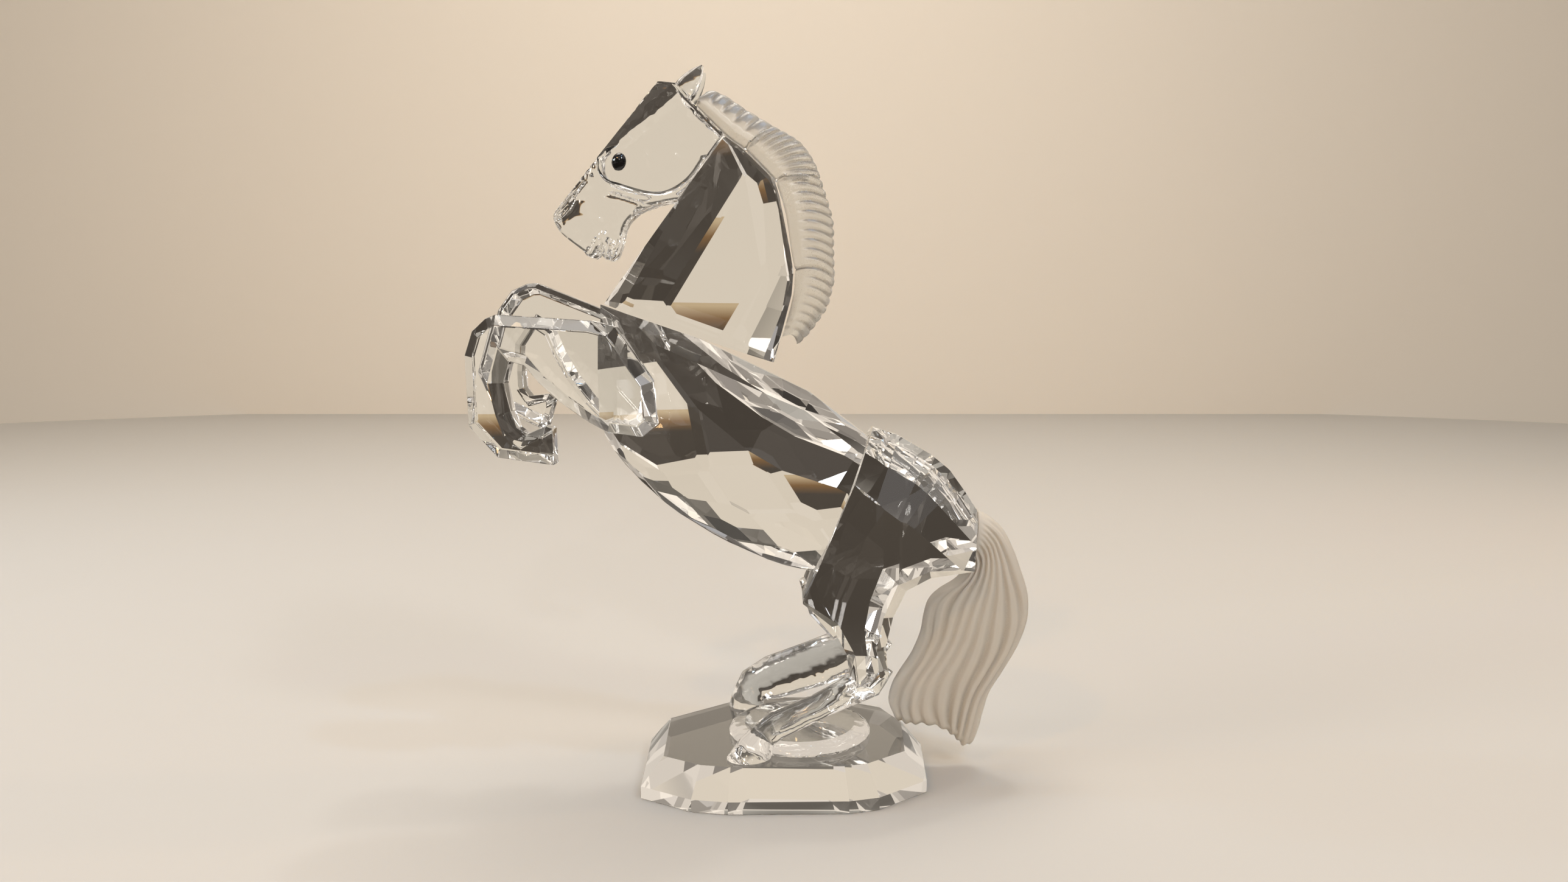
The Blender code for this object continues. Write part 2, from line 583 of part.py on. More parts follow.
def mane(frost):
    """A crest of four tufts. Its strands are ridges that run from the neck to the outer edge."""
    rings = []
    for number, (inner, outer, strands) in enumerate(MANE_TUFTS):
        inner = offset_path(inner, GAP)
        last = number == len(MANE_TUFTS) - 1
        for step in range(2 * strands + last):
            share = step / (2 * strands)
            root, edge = along(inner, share), along(outer, share)
            valley = step % 2 == 0
            if valley:
                edge -= (edge - root).normalized() * MANE_NOTCH
            near, far = [], []
            for reach, half in MANE_SECTION:
                groove = MANE_ROOT_GROOVE + (MANE_GROOVE - MANE_ROOT_GROOVE) * reach
                depth = half - groove if valley else half
                spot = root.lerp(edge, reach)
                near.append((spot.x, -depth, spot.y))
                far.append((spot.x, depth, spot.y))
            rings.append(near + far[::-1])
    add_object("mane", layered(rings), frost, rounded=True)


# Tail

TAIL_OUTER = ((36.7, 50.2), (37.8, 49.6), (39.5, 48.6), (41.5, 46.6), (43.4, 43.0), (44.7, 39.6),
              (46.2, 35.1), (46.6, 31.9), (46.3, 28.4), (44.7, 23.9), (42.0, 19.0), (39.5, 14.8),
              (38.3, 10.8), (37.6, 7.7), (36.4, 4.2))
TAIL_INNER = ((35.2, 40.0), (34.5, 38.2), (32.4, 36.2), (29.6, 34.6), (27.6, 32.6), (26.7, 29.8),
              (26.0, 26.0), (24.3, 22.0), (22.1, 18.6), (20.6, 15.8), (20.0, 12.5), (21.2, 9.0))
TAIL_END = ((21.2, 9.0), (23.6, 8.0), (27.0, 7.9), (30.1, 7.2), (32.6, 5.6), (34.6, 3.6), (36.4, 4.2))
# Half its thickness along its length, and the shares of that across it.
TAIL_THICKNESS = (4.2, 4.6, 4.2, 3.3, 2.2)
TAIL_EDGE_SHARES = (0.35, 0.82, 1.0, 0.82, 0.35)
TAIL_STRANDS = 8
TAIL_STEPS = 14
TAIL_GROOVE = 0.45
TAIL_LAG = 1.4


def tail(frost):
    """A thick sweep of hair between an outer and an inner curve, with strands that run its whole length."""
    seat = (Vector(TAIL_SEAT[1]), Vector(TAIL_SEAT[0]))
    clear = Vector((GAP, 0.0))
    rings = []
    for step in range(TAIL_STEPS + 1):
        down = step / TAIL_STEPS
        inner, outer = along(TAIL_INNER, down ** TAIL_LAG), along(TAIL_OUTER, down)
        near, far = [], []
        for k in range(2 * TAIL_STRANDS + 1):
            out = k / (2 * TAIL_STRANDS)
            straight = inner.lerp(outer, out)
            from_seat = seat[0].lerp(seat[1], out) - Vector(TAIL_INNER[0]).lerp(Vector(TAIL_OUTER[0]), out)
            from_end = along(TAIL_END, out) - Vector(TAIL_END[0]).lerp(Vector(TAIL_END[-1]), out)
            spot = straight + from_seat * (1 - down) + from_end * down + clear
            depth = between(TAIL_THICKNESS, down) * between(TAIL_EDGE_SHARES, out)
            if k % 2 == 0:
                depth -= TAIL_GROOVE
            near.append((spot.x, -depth, spot.y))
            far.append((spot.x, depth, spot.y))
        rings.append(near + far[::-1])
    add_object("tail", layered(rings), frost, rounded=True)


def main():
    clear_scene()
    crystal = material("clear crystal", (1.0, 1.0, 1.0), 0.0, 1.0)
    frost = material("frosted crystal", (0.95, 0.95, 0.93), 0.55, 0.9)
    black = material("black glass", (0.01, 0.01, 0.01), 0.05, 0.0)
    plinth(crystal)
    hindquarters(crystal)
    barrel(crystal)
    foreleg("left_foreleg", -1, 0.0, 0.0, crystal)
    foreleg("right_foreleg", 1, RIGHT_LIFT, RIGHT_LEAD, crystal)
    neck(crystal)
    head(crystal)
    eyes(black)
    mane(frost)
    tail(frost)


main()
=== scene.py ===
# Looks for a cut crystal horse that rears on a faceted plinth.
import math

import bmesh
import bpy
import numpy as np
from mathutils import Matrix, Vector


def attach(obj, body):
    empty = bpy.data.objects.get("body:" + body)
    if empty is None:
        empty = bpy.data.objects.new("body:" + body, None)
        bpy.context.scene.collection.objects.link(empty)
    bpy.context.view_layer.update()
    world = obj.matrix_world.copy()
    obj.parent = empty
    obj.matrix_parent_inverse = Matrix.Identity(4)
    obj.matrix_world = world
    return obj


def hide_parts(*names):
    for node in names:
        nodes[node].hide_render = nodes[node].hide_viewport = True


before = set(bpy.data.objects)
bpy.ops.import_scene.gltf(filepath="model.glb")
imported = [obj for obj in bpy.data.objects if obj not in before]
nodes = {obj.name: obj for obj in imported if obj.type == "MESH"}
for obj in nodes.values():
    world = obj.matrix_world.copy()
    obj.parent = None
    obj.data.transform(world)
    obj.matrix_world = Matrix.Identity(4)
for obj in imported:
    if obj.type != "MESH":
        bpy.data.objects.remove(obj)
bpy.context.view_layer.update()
mm = 0.001
print("frame loaded:", len(nodes), "nodes")


# Camera: low and close, as the photograph was taken.

cameraValues = {
    "distance": 0.2143,  # from the horse's middle plane, in metres
    "height": 0.0840,
    "pitch": 5.5,  # degrees down
    "lens": 26.0,
    "sensor": 36.0,
    "nearest": 0.01,
}


def makeCamera(values):
    data = bpy.data.cameras.new("camera")
    data.lens = values["lens"]
    data.sensor_width = values["sensor"]
    data.clip_start = values["nearest"]
    camera = bpy.data.objects.new("camera", data)
    camera.location = (0, -values["distance"], values["height"])
    camera.rotation_euler = (math.radians(90 - values["pitch"]), 0, 0)
    bpy.context.scene.collection.objects.link(camera)
    bpy.context.scene.camera = camera


makeCamera(cameraValues)
bpy.context.scene.view_settings.view_transform = "Standard"
print("camera placed")


# Stage: a pale floor, a pale wall and soft lights. Rays that come through the crystal see instead a dim room
# and a glowing dark ground, with a painted ring of light round the plinth and a painted reflection of the
# wall, so that the cut faces have something dark to show.

stageValues = {
    "floorRadius": 1.1,
    "floorSides": 64,
    "floorDrop": 0.00015,  # the film of air under the plinth
    "floorColour": (0.50, 0.475, 0.44),
    "floorRoughness": 0.8,
    "floorShine": 0.05,
    "wallColour": (0.78, 0.70, 0.60),
    "wallRoughness": 0.9,
    "wallShine": 0.3,
    "wallDistance": 0.95,
    "wallFoot": -0.05,
    "wallHeight": 1.1,
    "wallHalfWidth": 1.7,
    "groundGlowAndWallReflection": ((0.0, (0.048, 0.038, 0.029)), (0.70, (0.056, 0.044, 0.033)),
                      (0.80, (0.20, 0.105, 0.038)), (0.92, (0.54, 0.40, 0.235))),  # out to the wall, warming near it in a painted reflection of the wall
    "paintedRingLight": (0.50, 0.46, 0.40),  # a painted pool of light: a paler ring glowing on the dark ground, round the plinth
    "paintedRingLightBands": ((0.0, 0.14), (0.026, 0.14), (0.030, 1.0), (0.070, 0.8), (0.095, 0.0)),
    "roomColours": ((0.0, (0.15, 0.135, 0.12)), (0.12, (0.12, 0.11, 0.10)), (0.35, (0.22, 0.205, 0.19)),
                    (0.75, (0.42, 0.40, 0.38))),  # from the horizon up to the ceiling
    "patchColours": ((0.0, (0.30, 0.28, 0.26)), (0.36, (0.9, 0.86, 0.82)), (0.60, (1.7, 1.6, 1.5)),
                     (0.78, (2.6, 2.7, 2.9))),  # how bright each patch of the room is
    "patchScale": 4.2,
    "wallGlow": (0.72, 0.625, 0.50),  # the wall as the crystal sees it
    "glowBands": ((0.0, 1.0), (0.40, 1.0), (0.52, 0.22), (0.80, 0.10), (0.95, 0.45)),  # outwards, in metres
    "glowHeight": 0.18,
    "glowWidth": 0.5,  # how much a step sideways counts against a step upwards
    "horizonColour": (0.40, 0.37, 0.33),
}

dark = (0.0, 0.0, 0.0)


def shaderOf(made):
    return made.node_tree.nodes["Principled BSDF"]


def plainMaterial(name, colour, roughness, shine):
    made = bpy.data.materials.new(name)
    made.use_nodes = True
    shader = shaderOf(made)
    shader.inputs["Base Color"].default_value = (*colour, 1)
    shader.inputs["Roughness"].default_value = roughness
    shader.inputs["Specular IOR Level"].default_value = shine
    return made


def stagePiece(name, corners, material):
    mesh = bpy.data.meshes.new(name)
    mesh.from_pydata(corners, [], [tuple(range(len(corners)))])
    mesh.materials.append(material)
    made = bpy.data.objects.new(name, mesh)
    bpy.context.scene.collection.objects.link(made)


def bandsOn(tree, factor, bands, sharp=False):
    ramp = tree.nodes.new("ShaderNodeValToRGB")
    tree.links.new(factor, ramp.inputs["Fac"])
    if sharp:
        ramp.color_ramp.interpolation = "CONSTANT"
    stops = ramp.color_ramp.elements
    for i, (place, colour) in enumerate(bands):
        stop = stops[i] if i < 2 else stops.new(place)
        stop.position = place
        stop.color = (*colour, 1)
    return ramp.outputs["Color"]


def mathNode(tree, operation, first, second=0.0):
    made = tree.nodes.new("ShaderNodeMath")
    made.operation = operation
    for socket, value in zip(made.inputs, (first, second)):
        if isinstance(value, (int, float)):
            socket.default_value = value
        else:
            tree.links.new(value, socket)
    return made.outputs["Value"]


def vectorNode(tree, operation, first, second=(0.0, 0.0, 0.0)):
    made = tree.nodes.new("ShaderNodeVectorMath")
    made.operation = operation
    tree.links.new(first, made.inputs[0])
    made.inputs[1].default_value = second
    return made.outputs["Value" if operation == "LENGTH" else "Vector"]


def mixColours(tree, factor, low, high):
    mix = tree.nodes.new("ShaderNodeMix")
    mix.data_type = "RGBA"
    tree.links.new(factor, mix.inputs["Factor"])
    for label, colour in (("A", low), ("B", high)):
        if isinstance(colour, tuple):
            mix.inputs[label].default_value = (*colour, 1)
        else:
            tree.links.new(colour, mix.inputs[label])
    return mix.outputs["Result"]


def axisValue(tree, source, axis):
    parts = tree.nodes.new("ShaderNodeSeparateXYZ")
    tree.links.new(source, parts.inputs["Vector"])
    return parts.outputs[axis]


def greyBands(bands):
    return [(reach, (share,) * 3) for reach, share in bands]


def plainlySeen(tree):
    # 1 to the camera and to matt surfaces, 0 to the rays that come through the crystal.
    path = tree.nodes.new("ShaderNodeLightPath")
    return mathNode(tree, "MAXIMUM", path.outputs["Is Camera Ray"], path.outputs["Is Diffuse Ray"])


def addSecondLook(made, colour, glow):
    # The plain colour to the eye, and a glow of its own to the rays that come through the crystal.
    tree, shader = made.node_tree, shaderOf(made)
    plainly = plainlySeen(tree)
    tree.links.new(mixColours(tree, plainly, dark, colour), shader.inputs["Base Color"])
    tree.links.new(mixColours(tree, plainly, glow, dark), shader.inputs["Emission Color"])
    shader.inputs["Emission Strength"].default_value = 1.0


def floorMaterial(values):
    made = plainMaterial("pale floor", values["floorColour"], values["floorRoughness"], values["floorShine"])
    tree = made.node_tree
    place = tree.nodes.new("ShaderNodeTexCoord").outputs["Object"]
    # To rays through the crystal the floor glows: a dark ground with a painted reflection of the wall near
    # it, and a painted ring of light round the plinth.
    ground = bandsOn(tree, axisValue(tree, place, "Y"), values["groundGlowAndWallReflection"])
    ring = bandsOn(tree, vectorNode(tree, "LENGTH", place), greyBands(values["paintedRingLightBands"]))
    addSecondLook(made, values["floorColour"], mixColours(tree, ring, ground, values["paintedRingLight"]))
    return made


def wallMaterial(values):
    # Through the crystal only the middle of the wall is light, so that steep facets find something darker.
    made = plainMaterial("pale wall", values["wallColour"], values["wallRoughness"], values["wallShine"])
    tree = made.node_tree
    place = tree.nodes.new("ShaderNodeTexCoord").outputs["Object"]
    offset = vectorNode(tree, "SUBTRACT", place, (0.0, values["wallDistance"], values["glowHeight"]))
    squeezed = vectorNode(tree, "MULTIPLY", offset, (values["glowWidth"], 1.0, 1.0))
    bands = bandsOn(tree, vectorNode(tree, "LENGTH", squeezed), greyBands(values["glowBands"]))
    addSecondLook(made, values["wallColour"], mixColours(tree, bands, dark, values["wallGlow"]))
    return made


def makeRoom(values):
    # Bands from dark to light by height, broken into lighter and darker patches like windows and shelves.
    world = bpy.data.worlds.new("dim room")
    world.use_nodes = True
    tree = world.node_tree
    way = tree.nodes.new("ShaderNodeTexCoord").outputs["Generated"]
    bands = bandsOn(tree, axisValue(tree, way, "Z"), values["roomColours"])
    cells = tree.nodes.new("ShaderNodeTexVoronoi")
    cells.inputs["Scale"].default_value = values["patchScale"]
    tree.links.new(way, cells.inputs["Vector"])
    patches = bandsOn(tree, axisValue(tree, cells.outputs["Color"], "X"), values["patchColours"], sharp=True)
    both = tree.nodes.new("ShaderNodeMix")
    both.data_type = "RGBA"
    both.blend_type = "MULTIPLY"
    both.inputs["Factor"].default_value = 1.0
    tree.links.new(bands, both.inputs["A"])
    tree.links.new(patches, both.inputs["B"])
    seen = mixColours(tree, plainlySeen(tree), both.outputs["Result"], values["horizonColour"])
    tree.links.new(seen, tree.nodes["Background"].inputs["Color"])
    bpy.context.scene.world = world


def makeStage(values):
    radius, sides, drop = values["floorRadius"], values["floorSides"], -values["floorDrop"]
    turns = [math.tau * i / sides for i in range(sides)]
    rim = [(radius * math.cos(turn), radius * math.sin(turn), drop) for turn in turns]
    stagePiece("floor", rim, floorMaterial(values))
    far, half = values["wallDistance"], values["wallHalfWidth"]
    foot, top = values["wallFoot"], values["wallHeight"]
    stagePiece("wall", [(-half, far, foot), (half, far, foot), (half, far, top), (-half, far, top)],
               wallMaterial(values))
    makeRoom(values)


makeStage(stageValues)

horseMiddle = (0, 0, 0.07)
lightValues = {  # place, aim, size, power in watts, colour
    "ceiling lamp": ((-0.15, 0.20, 0.95), (0, 0.20, 0), 0.5, 3.7, (1.0, 0.93, 0.84)),
    "left lamp": ((-0.75, -0.25, 0.42), horseMiddle, 0.22, 2.0, (1.0, 0.95, 0.9)),
    "right lamp": ((0.45, -0.50, 0.60), horseMiddle, 0.12, 1.4, (0.95, 0.97, 1.0)),
    "wall lamp": ((0, 0.50, 1.1), (0, 0.95, 0.2), 0.5, 2.5, (1.0, 0.93, 0.83)),
    "cool spark lamp": ((0.30, -0.25, 0.75), horseMiddle, 0.03, 0.8, (0.40, 0.66, 1.0)),
    "warm spark lamp": ((-0.30, -0.45, 0.55), horseMiddle, 0.03, 0.8, (1.0, 0.62, 0.28)),
    "white spark lamp": ((0.05, -0.60, 0.35), horseMiddle, 0.02, 0.6, (1.0, 1.0, 1.0)),
    "low cool spark lamp": ((-0.55, 0.05, 0.30), horseMiddle, 0.035, 0.5, (0.45, 0.70, 1.0)),
    "low warm spark lamp": ((0.60, 0.10, 0.32), horseMiddle, 0.035, 0.5, (1.0, 0.66, 0.32)),
    "high spark lamp": ((0.15, 0.30, 0.85), horseMiddle, 0.05, 0.8, (1.0, 0.98, 0.95)),
}


def makeLight(name, place, aim, size, power, colour):
    data = bpy.data.lights.new(name, "AREA")
    data.size = size
    data.energy = power
    data.color = colour
    lamp = bpy.data.objects.new(name, data)
    lamp.location = place
    lamp.rotation_euler = (Vector(aim) - Vector(place)).to_track_quat("-Z", "Y").to_euler()
    bpy.context.scene.collection.objects.link(lamp)


for lampName, lampData in lightValues.items():
    makeLight(lampName, *lampData)
print("stage and lights placed")


# Shader groups, each used by several finishes.

def newSurfaceGroup(name, numbers, outputs):
    group = bpy.data.node_groups.new(name, "ShaderNodeTree")
    for label, value in numbers.items():
        socket = group.interface.new_socket(label, in_out="INPUT", socket_type="NodeSocketFloat")
        socket.default_value = value
    for label in outputs:
        group.interface.new_socket(label, in_out="OUTPUT", socket_type="NodeSocketFloat")
    given = group.nodes.new("NodeGroupInput")
    result = group.nodes.new("NodeGroupOutput")
    where = group.nodes.new("ShaderNodeTexCoord").outputs["Object"]
    return group, given, result, where


def noiseOn(tree, where, scale, detail):
    made = tree.nodes.new("ShaderNodeTexNoise")
    made.inputs["Detail"].default_value = detail
    tree.links.new(where, made.inputs["Vector"])
    tree.links.new(scale, made.inputs["Scale"])
    return made.outputs["Fac"]


def polishedSurface():
    # Long faint waves left by the polishing wheel, and a breath of haze that comes and goes.
    group, given, result, where = newSurfaceGroup(
        "polished surface", {"Wave Scale": 45.0, "Haze": 0.01, "Haze Scale": 160.0},
        ("Height", "Haze", "Shade"))
    waves = noiseOn(group, where, given.outputs["Wave Scale"], 1.0)
    haze = noiseOn(group, where, given.outputs["Haze Scale"], 3.0)
    group.links.new(waves, result.inputs["Height"])
    group.links.new(mathNode(group, "MULTIPLY", haze, given.outputs["Haze"]), result.inputs["Haze"])
    group.links.new(waves, result.inputs["Shade"])
    return group


def frostGrain():
    # The fine etched grain of frosted crystal, over a soft cloud.
    group, given, result, where = newSurfaceGroup(
        "frost grain", {"Grain Scale": 5200.0, "Cloud Scale": 120.0, "Cloud Share": 0.35}, ("Height", "Mask"))
    grain = noiseOn(group, where, given.outputs["Grain Scale"], 2.0)
    cloud = noiseOn(group, where, given.outputs["Cloud Scale"], 2.0)
    mixed = group.nodes.new("ShaderNodeMix")
    group.links.new(given.outputs["Cloud Share"], mixed.inputs["Factor"])
    group.links.new(grain, mixed.inputs["A"])
    group.links.new(cloud, mixed.inputs["B"])
    group.links.new(grain, result.inputs["Height"])
    group.links.new(mixed.outputs["Result"], result.inputs["Mask"])
    return group


polished = polishedSurface()
grainy = frostGrain()


def placeGroup(tree, group, values):
    made = tree.nodes.new("ShaderNodeGroup")
    made.node_tree = group
    for label, value in values.items():
        made.inputs[label].default_value = value
    return made


def addRelief(tree, shader, height, strength, distance):
    bump = tree.nodes.new("ShaderNodeBump")
    bump.inputs["Strength"].default_value = strength
    bump.inputs["Distance"].default_value = distance
    tree.links.new(height, bump.inputs["Height"])
    tree.links.new(bump.outputs["Normal"], shader.inputs["Normal"])


crystalValues = {
    "ior": 1.55,
    "shine": 0.5,
    "thin": (1.0, 1.0, 1.0),
    "thick": (0.975, 0.985, 0.985),
    "haze": 0.012,
    "waveScale": 45.0,
    "waveStrength": 0.02,
    "waveHeight": 0.001,
    "lastReflection": 4,  # light reflected this often inside ends in a painted glow, in a tone of the room or the ground
    "paintedGlowUp": (0.60, 0.535, 0.46),
    "paintedGlowDown": (0.09, 0.078, 0.066),
    "facingReach": 0.9,  # facets that lean further up or down than this take the whole painted glow of their side
}

mouldedValues = dict(crystalValues, haze=0.05, waveScale=420.0, waveStrength=0.22)

frostValues = {
    "ior": 1.5,
    "shine": 0.5,
    "clarity": 0.36,
    "ridge": (0.83, 0.76, 0.66),
    # the groove colour is painted shade, laid into the grooves by how deep they are
    "groove": (0.40, 0.33, 0.25),
    "roughness": (0.42, 0.62),
    "grainStrength": 0.25,
    "grainHeight": 0.0001,
}

# The mane is thinner and lets more of the wall through, and the painted shade in its grooves is lighter.
thinFrostValues = dict(frostValues, clarity=0.80, ridge=(0.94, 0.905, 0.84), groove=(0.50, 0.44, 0.36),
                       roughness=(0.22, 0.36), grainStrength=0.12)

blackValues = {
    "deep": (0.003, 0.003, 0.003),
    "sheen": (0.010, 0.009, 0.009),
    "roughness": 0.03,
    "shine": 0.3,
    "haze": 0.05,
    "coat": 1.0,
    "coatRoughness": 0.01,
    "waveScale": 300.0,
    "waveStrength": 0.03,
    "waveHeight": 0.0002,
}


def polishOn(made, values, thin, thick):
    # Colour, haze and faint waves of a polished face.
    tree, shader = made.node_tree, shaderOf(made)
    surface = placeGroup(tree, polished, {"Wave Scale": values["waveScale"], "Haze": values["haze"]}).outputs
    tree.links.new(mixColours(tree, surface["Shade"], thin, thick), shader.inputs["Base Color"])
    tree.links.new(surface["Haze"], shader.inputs["Roughness"])
    addRelief(tree, shader, surface["Height"], values["waveStrength"], values["waveHeight"])


def paintEndGlow(made, values):
    # A facet that faces up ends the light in a painted glow of the room's tone, one that faces down in a
    # painted glow of the ground's, so upward facets are painted lighter.
    tree, shader = made.node_tree, shaderOf(made)
    path = tree.nodes.new("ShaderNodeLightPath")
    ended = mathNode(tree, "GREATER_THAN", path.outputs["Glossy Depth"], values["lastReflection"] - 0.5)
    facing = tree.nodes.new("ShaderNodeTexCoord")
    upward = tree.nodes.new("ShaderNodeMapRange")
    upward.inputs["From Min"].default_value = -values["facingReach"]
    upward.inputs["From Max"].default_value = values["facingReach"]
    tree.links.new(axisValue(tree, facing.outputs["Normal"], "Z"), upward.inputs["Value"])
    tone = mixColours(tree, upward.outputs["Result"], values["paintedGlowDown"], values["paintedGlowUp"])
    tree.links.new(mixColours(tree, ended, dark, tone), shader.inputs["Emission Color"])
    shader.inputs["Emission Strength"].default_value = 1.0


def crystalMaterial(name, values):
    made = plainMaterial(name, values["thin"], 0.0, values["shine"])
    shader = shaderOf(made)
    shader.inputs["IOR"].default_value = values["ior"]
    shader.inputs["Transmission Weight"].default_value = 1.0
    polishOn(made, values, values["thin"], values["thick"])
    paintEndGlow(made, values)
    return made


def frostMaterial(name, values):
    made = plainMaterial(name, values["ridge"], values["roughness"][0], values["shine"])
    tree, shader = made.node_tree, shaderOf(made)
    shader.inputs["IOR"].default_value = values["ior"]
    shader.inputs["Transmission Weight"].default_value = values["clarity"]
    grain = placeGroup(tree, grainy, {}).outputs
    # The grooves are painted darker by how deep they are: painted shade, broken up by the etched grain.
    depth = tree.nodes.new("ShaderNodeAttribute")
    depth.attribute_name = "groove"
    tone = mixColours(tree, depth.outputs["Fac"], values["ridge"], values["groove"])
    grainedGrooveShade = mixColours(tree, grain["Mask"], tone, values["ridge"])
    tree.links.new(grainedGrooveShade, shader.inputs["Base Color"])
    rough = tree.nodes.new("ShaderNodeMapRange")
    rough.inputs["To Min"].default_value, rough.inputs["To Max"].default_value = values["roughness"]
    tree.links.new(grain["Mask"], rough.inputs["Value"])
    tree.links.new(rough.outputs["Result"], shader.inputs["Roughness"])
    addRelief(tree, shader, grain["Height"], values["grainStrength"], values["grainHeight"])
    return made


def blackMaterial(name, values):
    made = plainMaterial(name, values["deep"], values["roughness"], values["shine"])
    shader = shaderOf(made)
    shader.inputs["Coat Weight"].default_value = values["coat"]
    shader.inputs["Coat Roughness"].default_value = values["coatRoughness"]
    polishOn(made, values, values["deep"], values["sheen"])
    return made


crystal = crystalMaterial("clear cut crystal", crystalValues)
moulded = crystalMaterial("clear moulded crystal", mouldedValues)
frost = frostMaterial("frosted crystal", frostValues)
thinFrost = frostMaterial("thin frosted crystal", thinFrostValues)
black = blackMaterial("black eye glass", blackValues)
print("finishes made")


# Mesh helpers. Curves and outlines are written in millimetres, side on as (x, z).

def newObject(name, mesh, material):
    mesh.materials.clear()
    mesh.materials.append(material)
    made = bpy.data.objects.new(name, mesh)
    bpy.context.scene.collection.objects.link(made)
    return made


def addPiece(name, points, faces, material):
    mesh = bpy.data.meshes.new(name)
    mesh.from_pydata([tuple(Vector(point) * mm) for point in points], [], faces)
    turnOut(mesh)
    return newObject(name, mesh, material)


def sideFaces(rows, sides):
    # Four-sided faces between closed rows of points that follow one another.
    faces = []
    for row in range(rows - 1):
        for k in range(sides):
            j = (k + 1) % sides
            faces.append((row * sides + k, row * sides + j, (row + 1) * sides + j, (row + 1) * sides + k))
    return faces


def endFaces(rows, sides):
    return [tuple(range(sides)), tuple(range((rows - 1) * sides, rows * sides))]


def turnOut(mesh):
    # All faces point outwards.
    bm = bmesh.new()
    bm.from_mesh(mesh)
    bmesh.ops.recalc_face_normals(bm, faces=bm.faces)
    bm.to_mesh(mesh)
    bm.free()


def along(points, share):
    # The spot at a share of a line's length.
    points = [Vector(point) for point in points]
    lengths = [(b - a).length for a, b in zip(points, points[1:])]
    left = share * sum(lengths)
    for a, b, length in zip(points, points[1:], lengths):
        if left <= length:
            return a.lerp(b, left / length)
        left -= length
    return points[-1]


def softened(points, steps):
    # A smooth curve through all the points.
    points = [Vector(point) for point in points]
    padded = [points[0] * 2 - points[1], *points, points[-1] * 2 - points[-2]]
    made = []
    for a, b, c, d in zip(padded, padded[1:], padded[2:], padded[3:]):
        for k in range(steps):
            t = k / steps
            made.append(b + (c - a) * (0.5 * t) + (a * 2 - b * 5 + c * 4 - d) * (0.5 * t * t)
                        + (b * 3 - a - c * 3 + d) * (0.5 * t ** 3))
    return made + [points[-1]]


def between(values, share):
    # A value from an evenly spaced row of them.
    place = min(max(share, 0.0), 1.0) * (len(values) - 1)
    low = min(int(place), len(values) - 2)
    return values[low] + (values[low + 1] - values[low]) * (place - low)


def eased(low, high, value):
    # Rises softly from 0 at low to 1 at high.
    t = min(max((value - low) / (high - low), 0.0), 1.0)
    return t * t * (3 - 2 * t)


def keepResult(piece):
    # The evaluated shape becomes a plain mesh and the modifiers go.
    graph = bpy.context.evaluated_depsgraph_get()
    result = bpy.data.meshes.new_from_object(piece.evaluated_get(graph), preserve_all_data_layers=True,
                                             depsgraph=graph)
    old = piece.data
    piece.modifiers.clear()
    piece.data = result
    bpy.data.meshes.remove(old)


weldValues = {"reach": 2e-6, "flatAngle": 0.3}  # metres, degrees


def mergedCopy(name, node, material, values):
    # A CAD node's loose triangles become whole faces.
    mesh = node.data.copy()
    bm = bmesh.new()
    bm.from_mesh(mesh)
    bmesh.ops.remove_doubles(bm, verts=bm.verts, dist=values["reach"])
    flat = math.radians(values["flatAngle"])
    bmesh.ops.dissolve_limit(bm, angle_limit=flat, verts=bm.verts, edges=bm.edges)
    bm.to_mesh(mesh)
    bm.free()
    return newObject(name, mesh, material)


def join(target, tool, operation):
    # Adds the tool's form, or keeps only what lies in both.
    modifier = target.modifiers.new("join", "BOOLEAN")
    modifier.object = tool
    modifier.operation = operation
    modifier.solver = "EXACT"
    keepResult(target)
    bpy.data.objects.remove(tool)


def smoothSmallFaces(piece, largest, sharp, below=None):
    # Moulded parts get soft shading, and the cut faces stay flat.
    mesh = piece.data
    mesh.set_sharp_from_angle(angle=math.radians(sharp))
    for face in mesh.polygons:
        face.use_smooth = face.area < largest * mm * mm and (below is None or face.center.z < below * mm)


# Combed hair: dense closed shells, grooved by one Geometry Nodes tree.
# A row of a shell has the spots of its middle line, half thicknesses, strand numbers, and how deeply each
# spot is grooved.

def combShell(name, rows, material):
    points, strands, combs, faces = [], [], [], []
    across = len(rows[0][0])
    for spots, halves, strand, comb in rows:
        for sign in (-1, 1):
            for spot, half in zip(spots, halves):
                points.append((spot[0], sign * half, spot[1]))
            strands.extend(strand)
            combs.extend(comb)
    turn = 2 * across
    for row in range(len(rows) - 1):
        here, there = row * turn, (row + 1) * turn
        for k in range(across - 1):
            faces.append((here + k, there + k, there + k + 1, here + k + 1))
            faces.append((here + across + k, here + across + k + 1,
                          there + across + k + 1, there + across + k))
        for k in (0, across - 1):
            faces.append((here + k, here + across + k, there + across + k, there + k))
    for start in (0, (len(rows) - 1) * turn):
        for k in range(across - 1):
            faces.append((start + k, start + k + 1, start + across + k + 1, start + across + k))
    made = addPiece(name, points, faces, material)
    for label, values in (("strand", strands), ("comb", combs)):
        made.data.attributes.new(label, "FLOAT", "POINT").data.foreach_set("value", values)
    return made


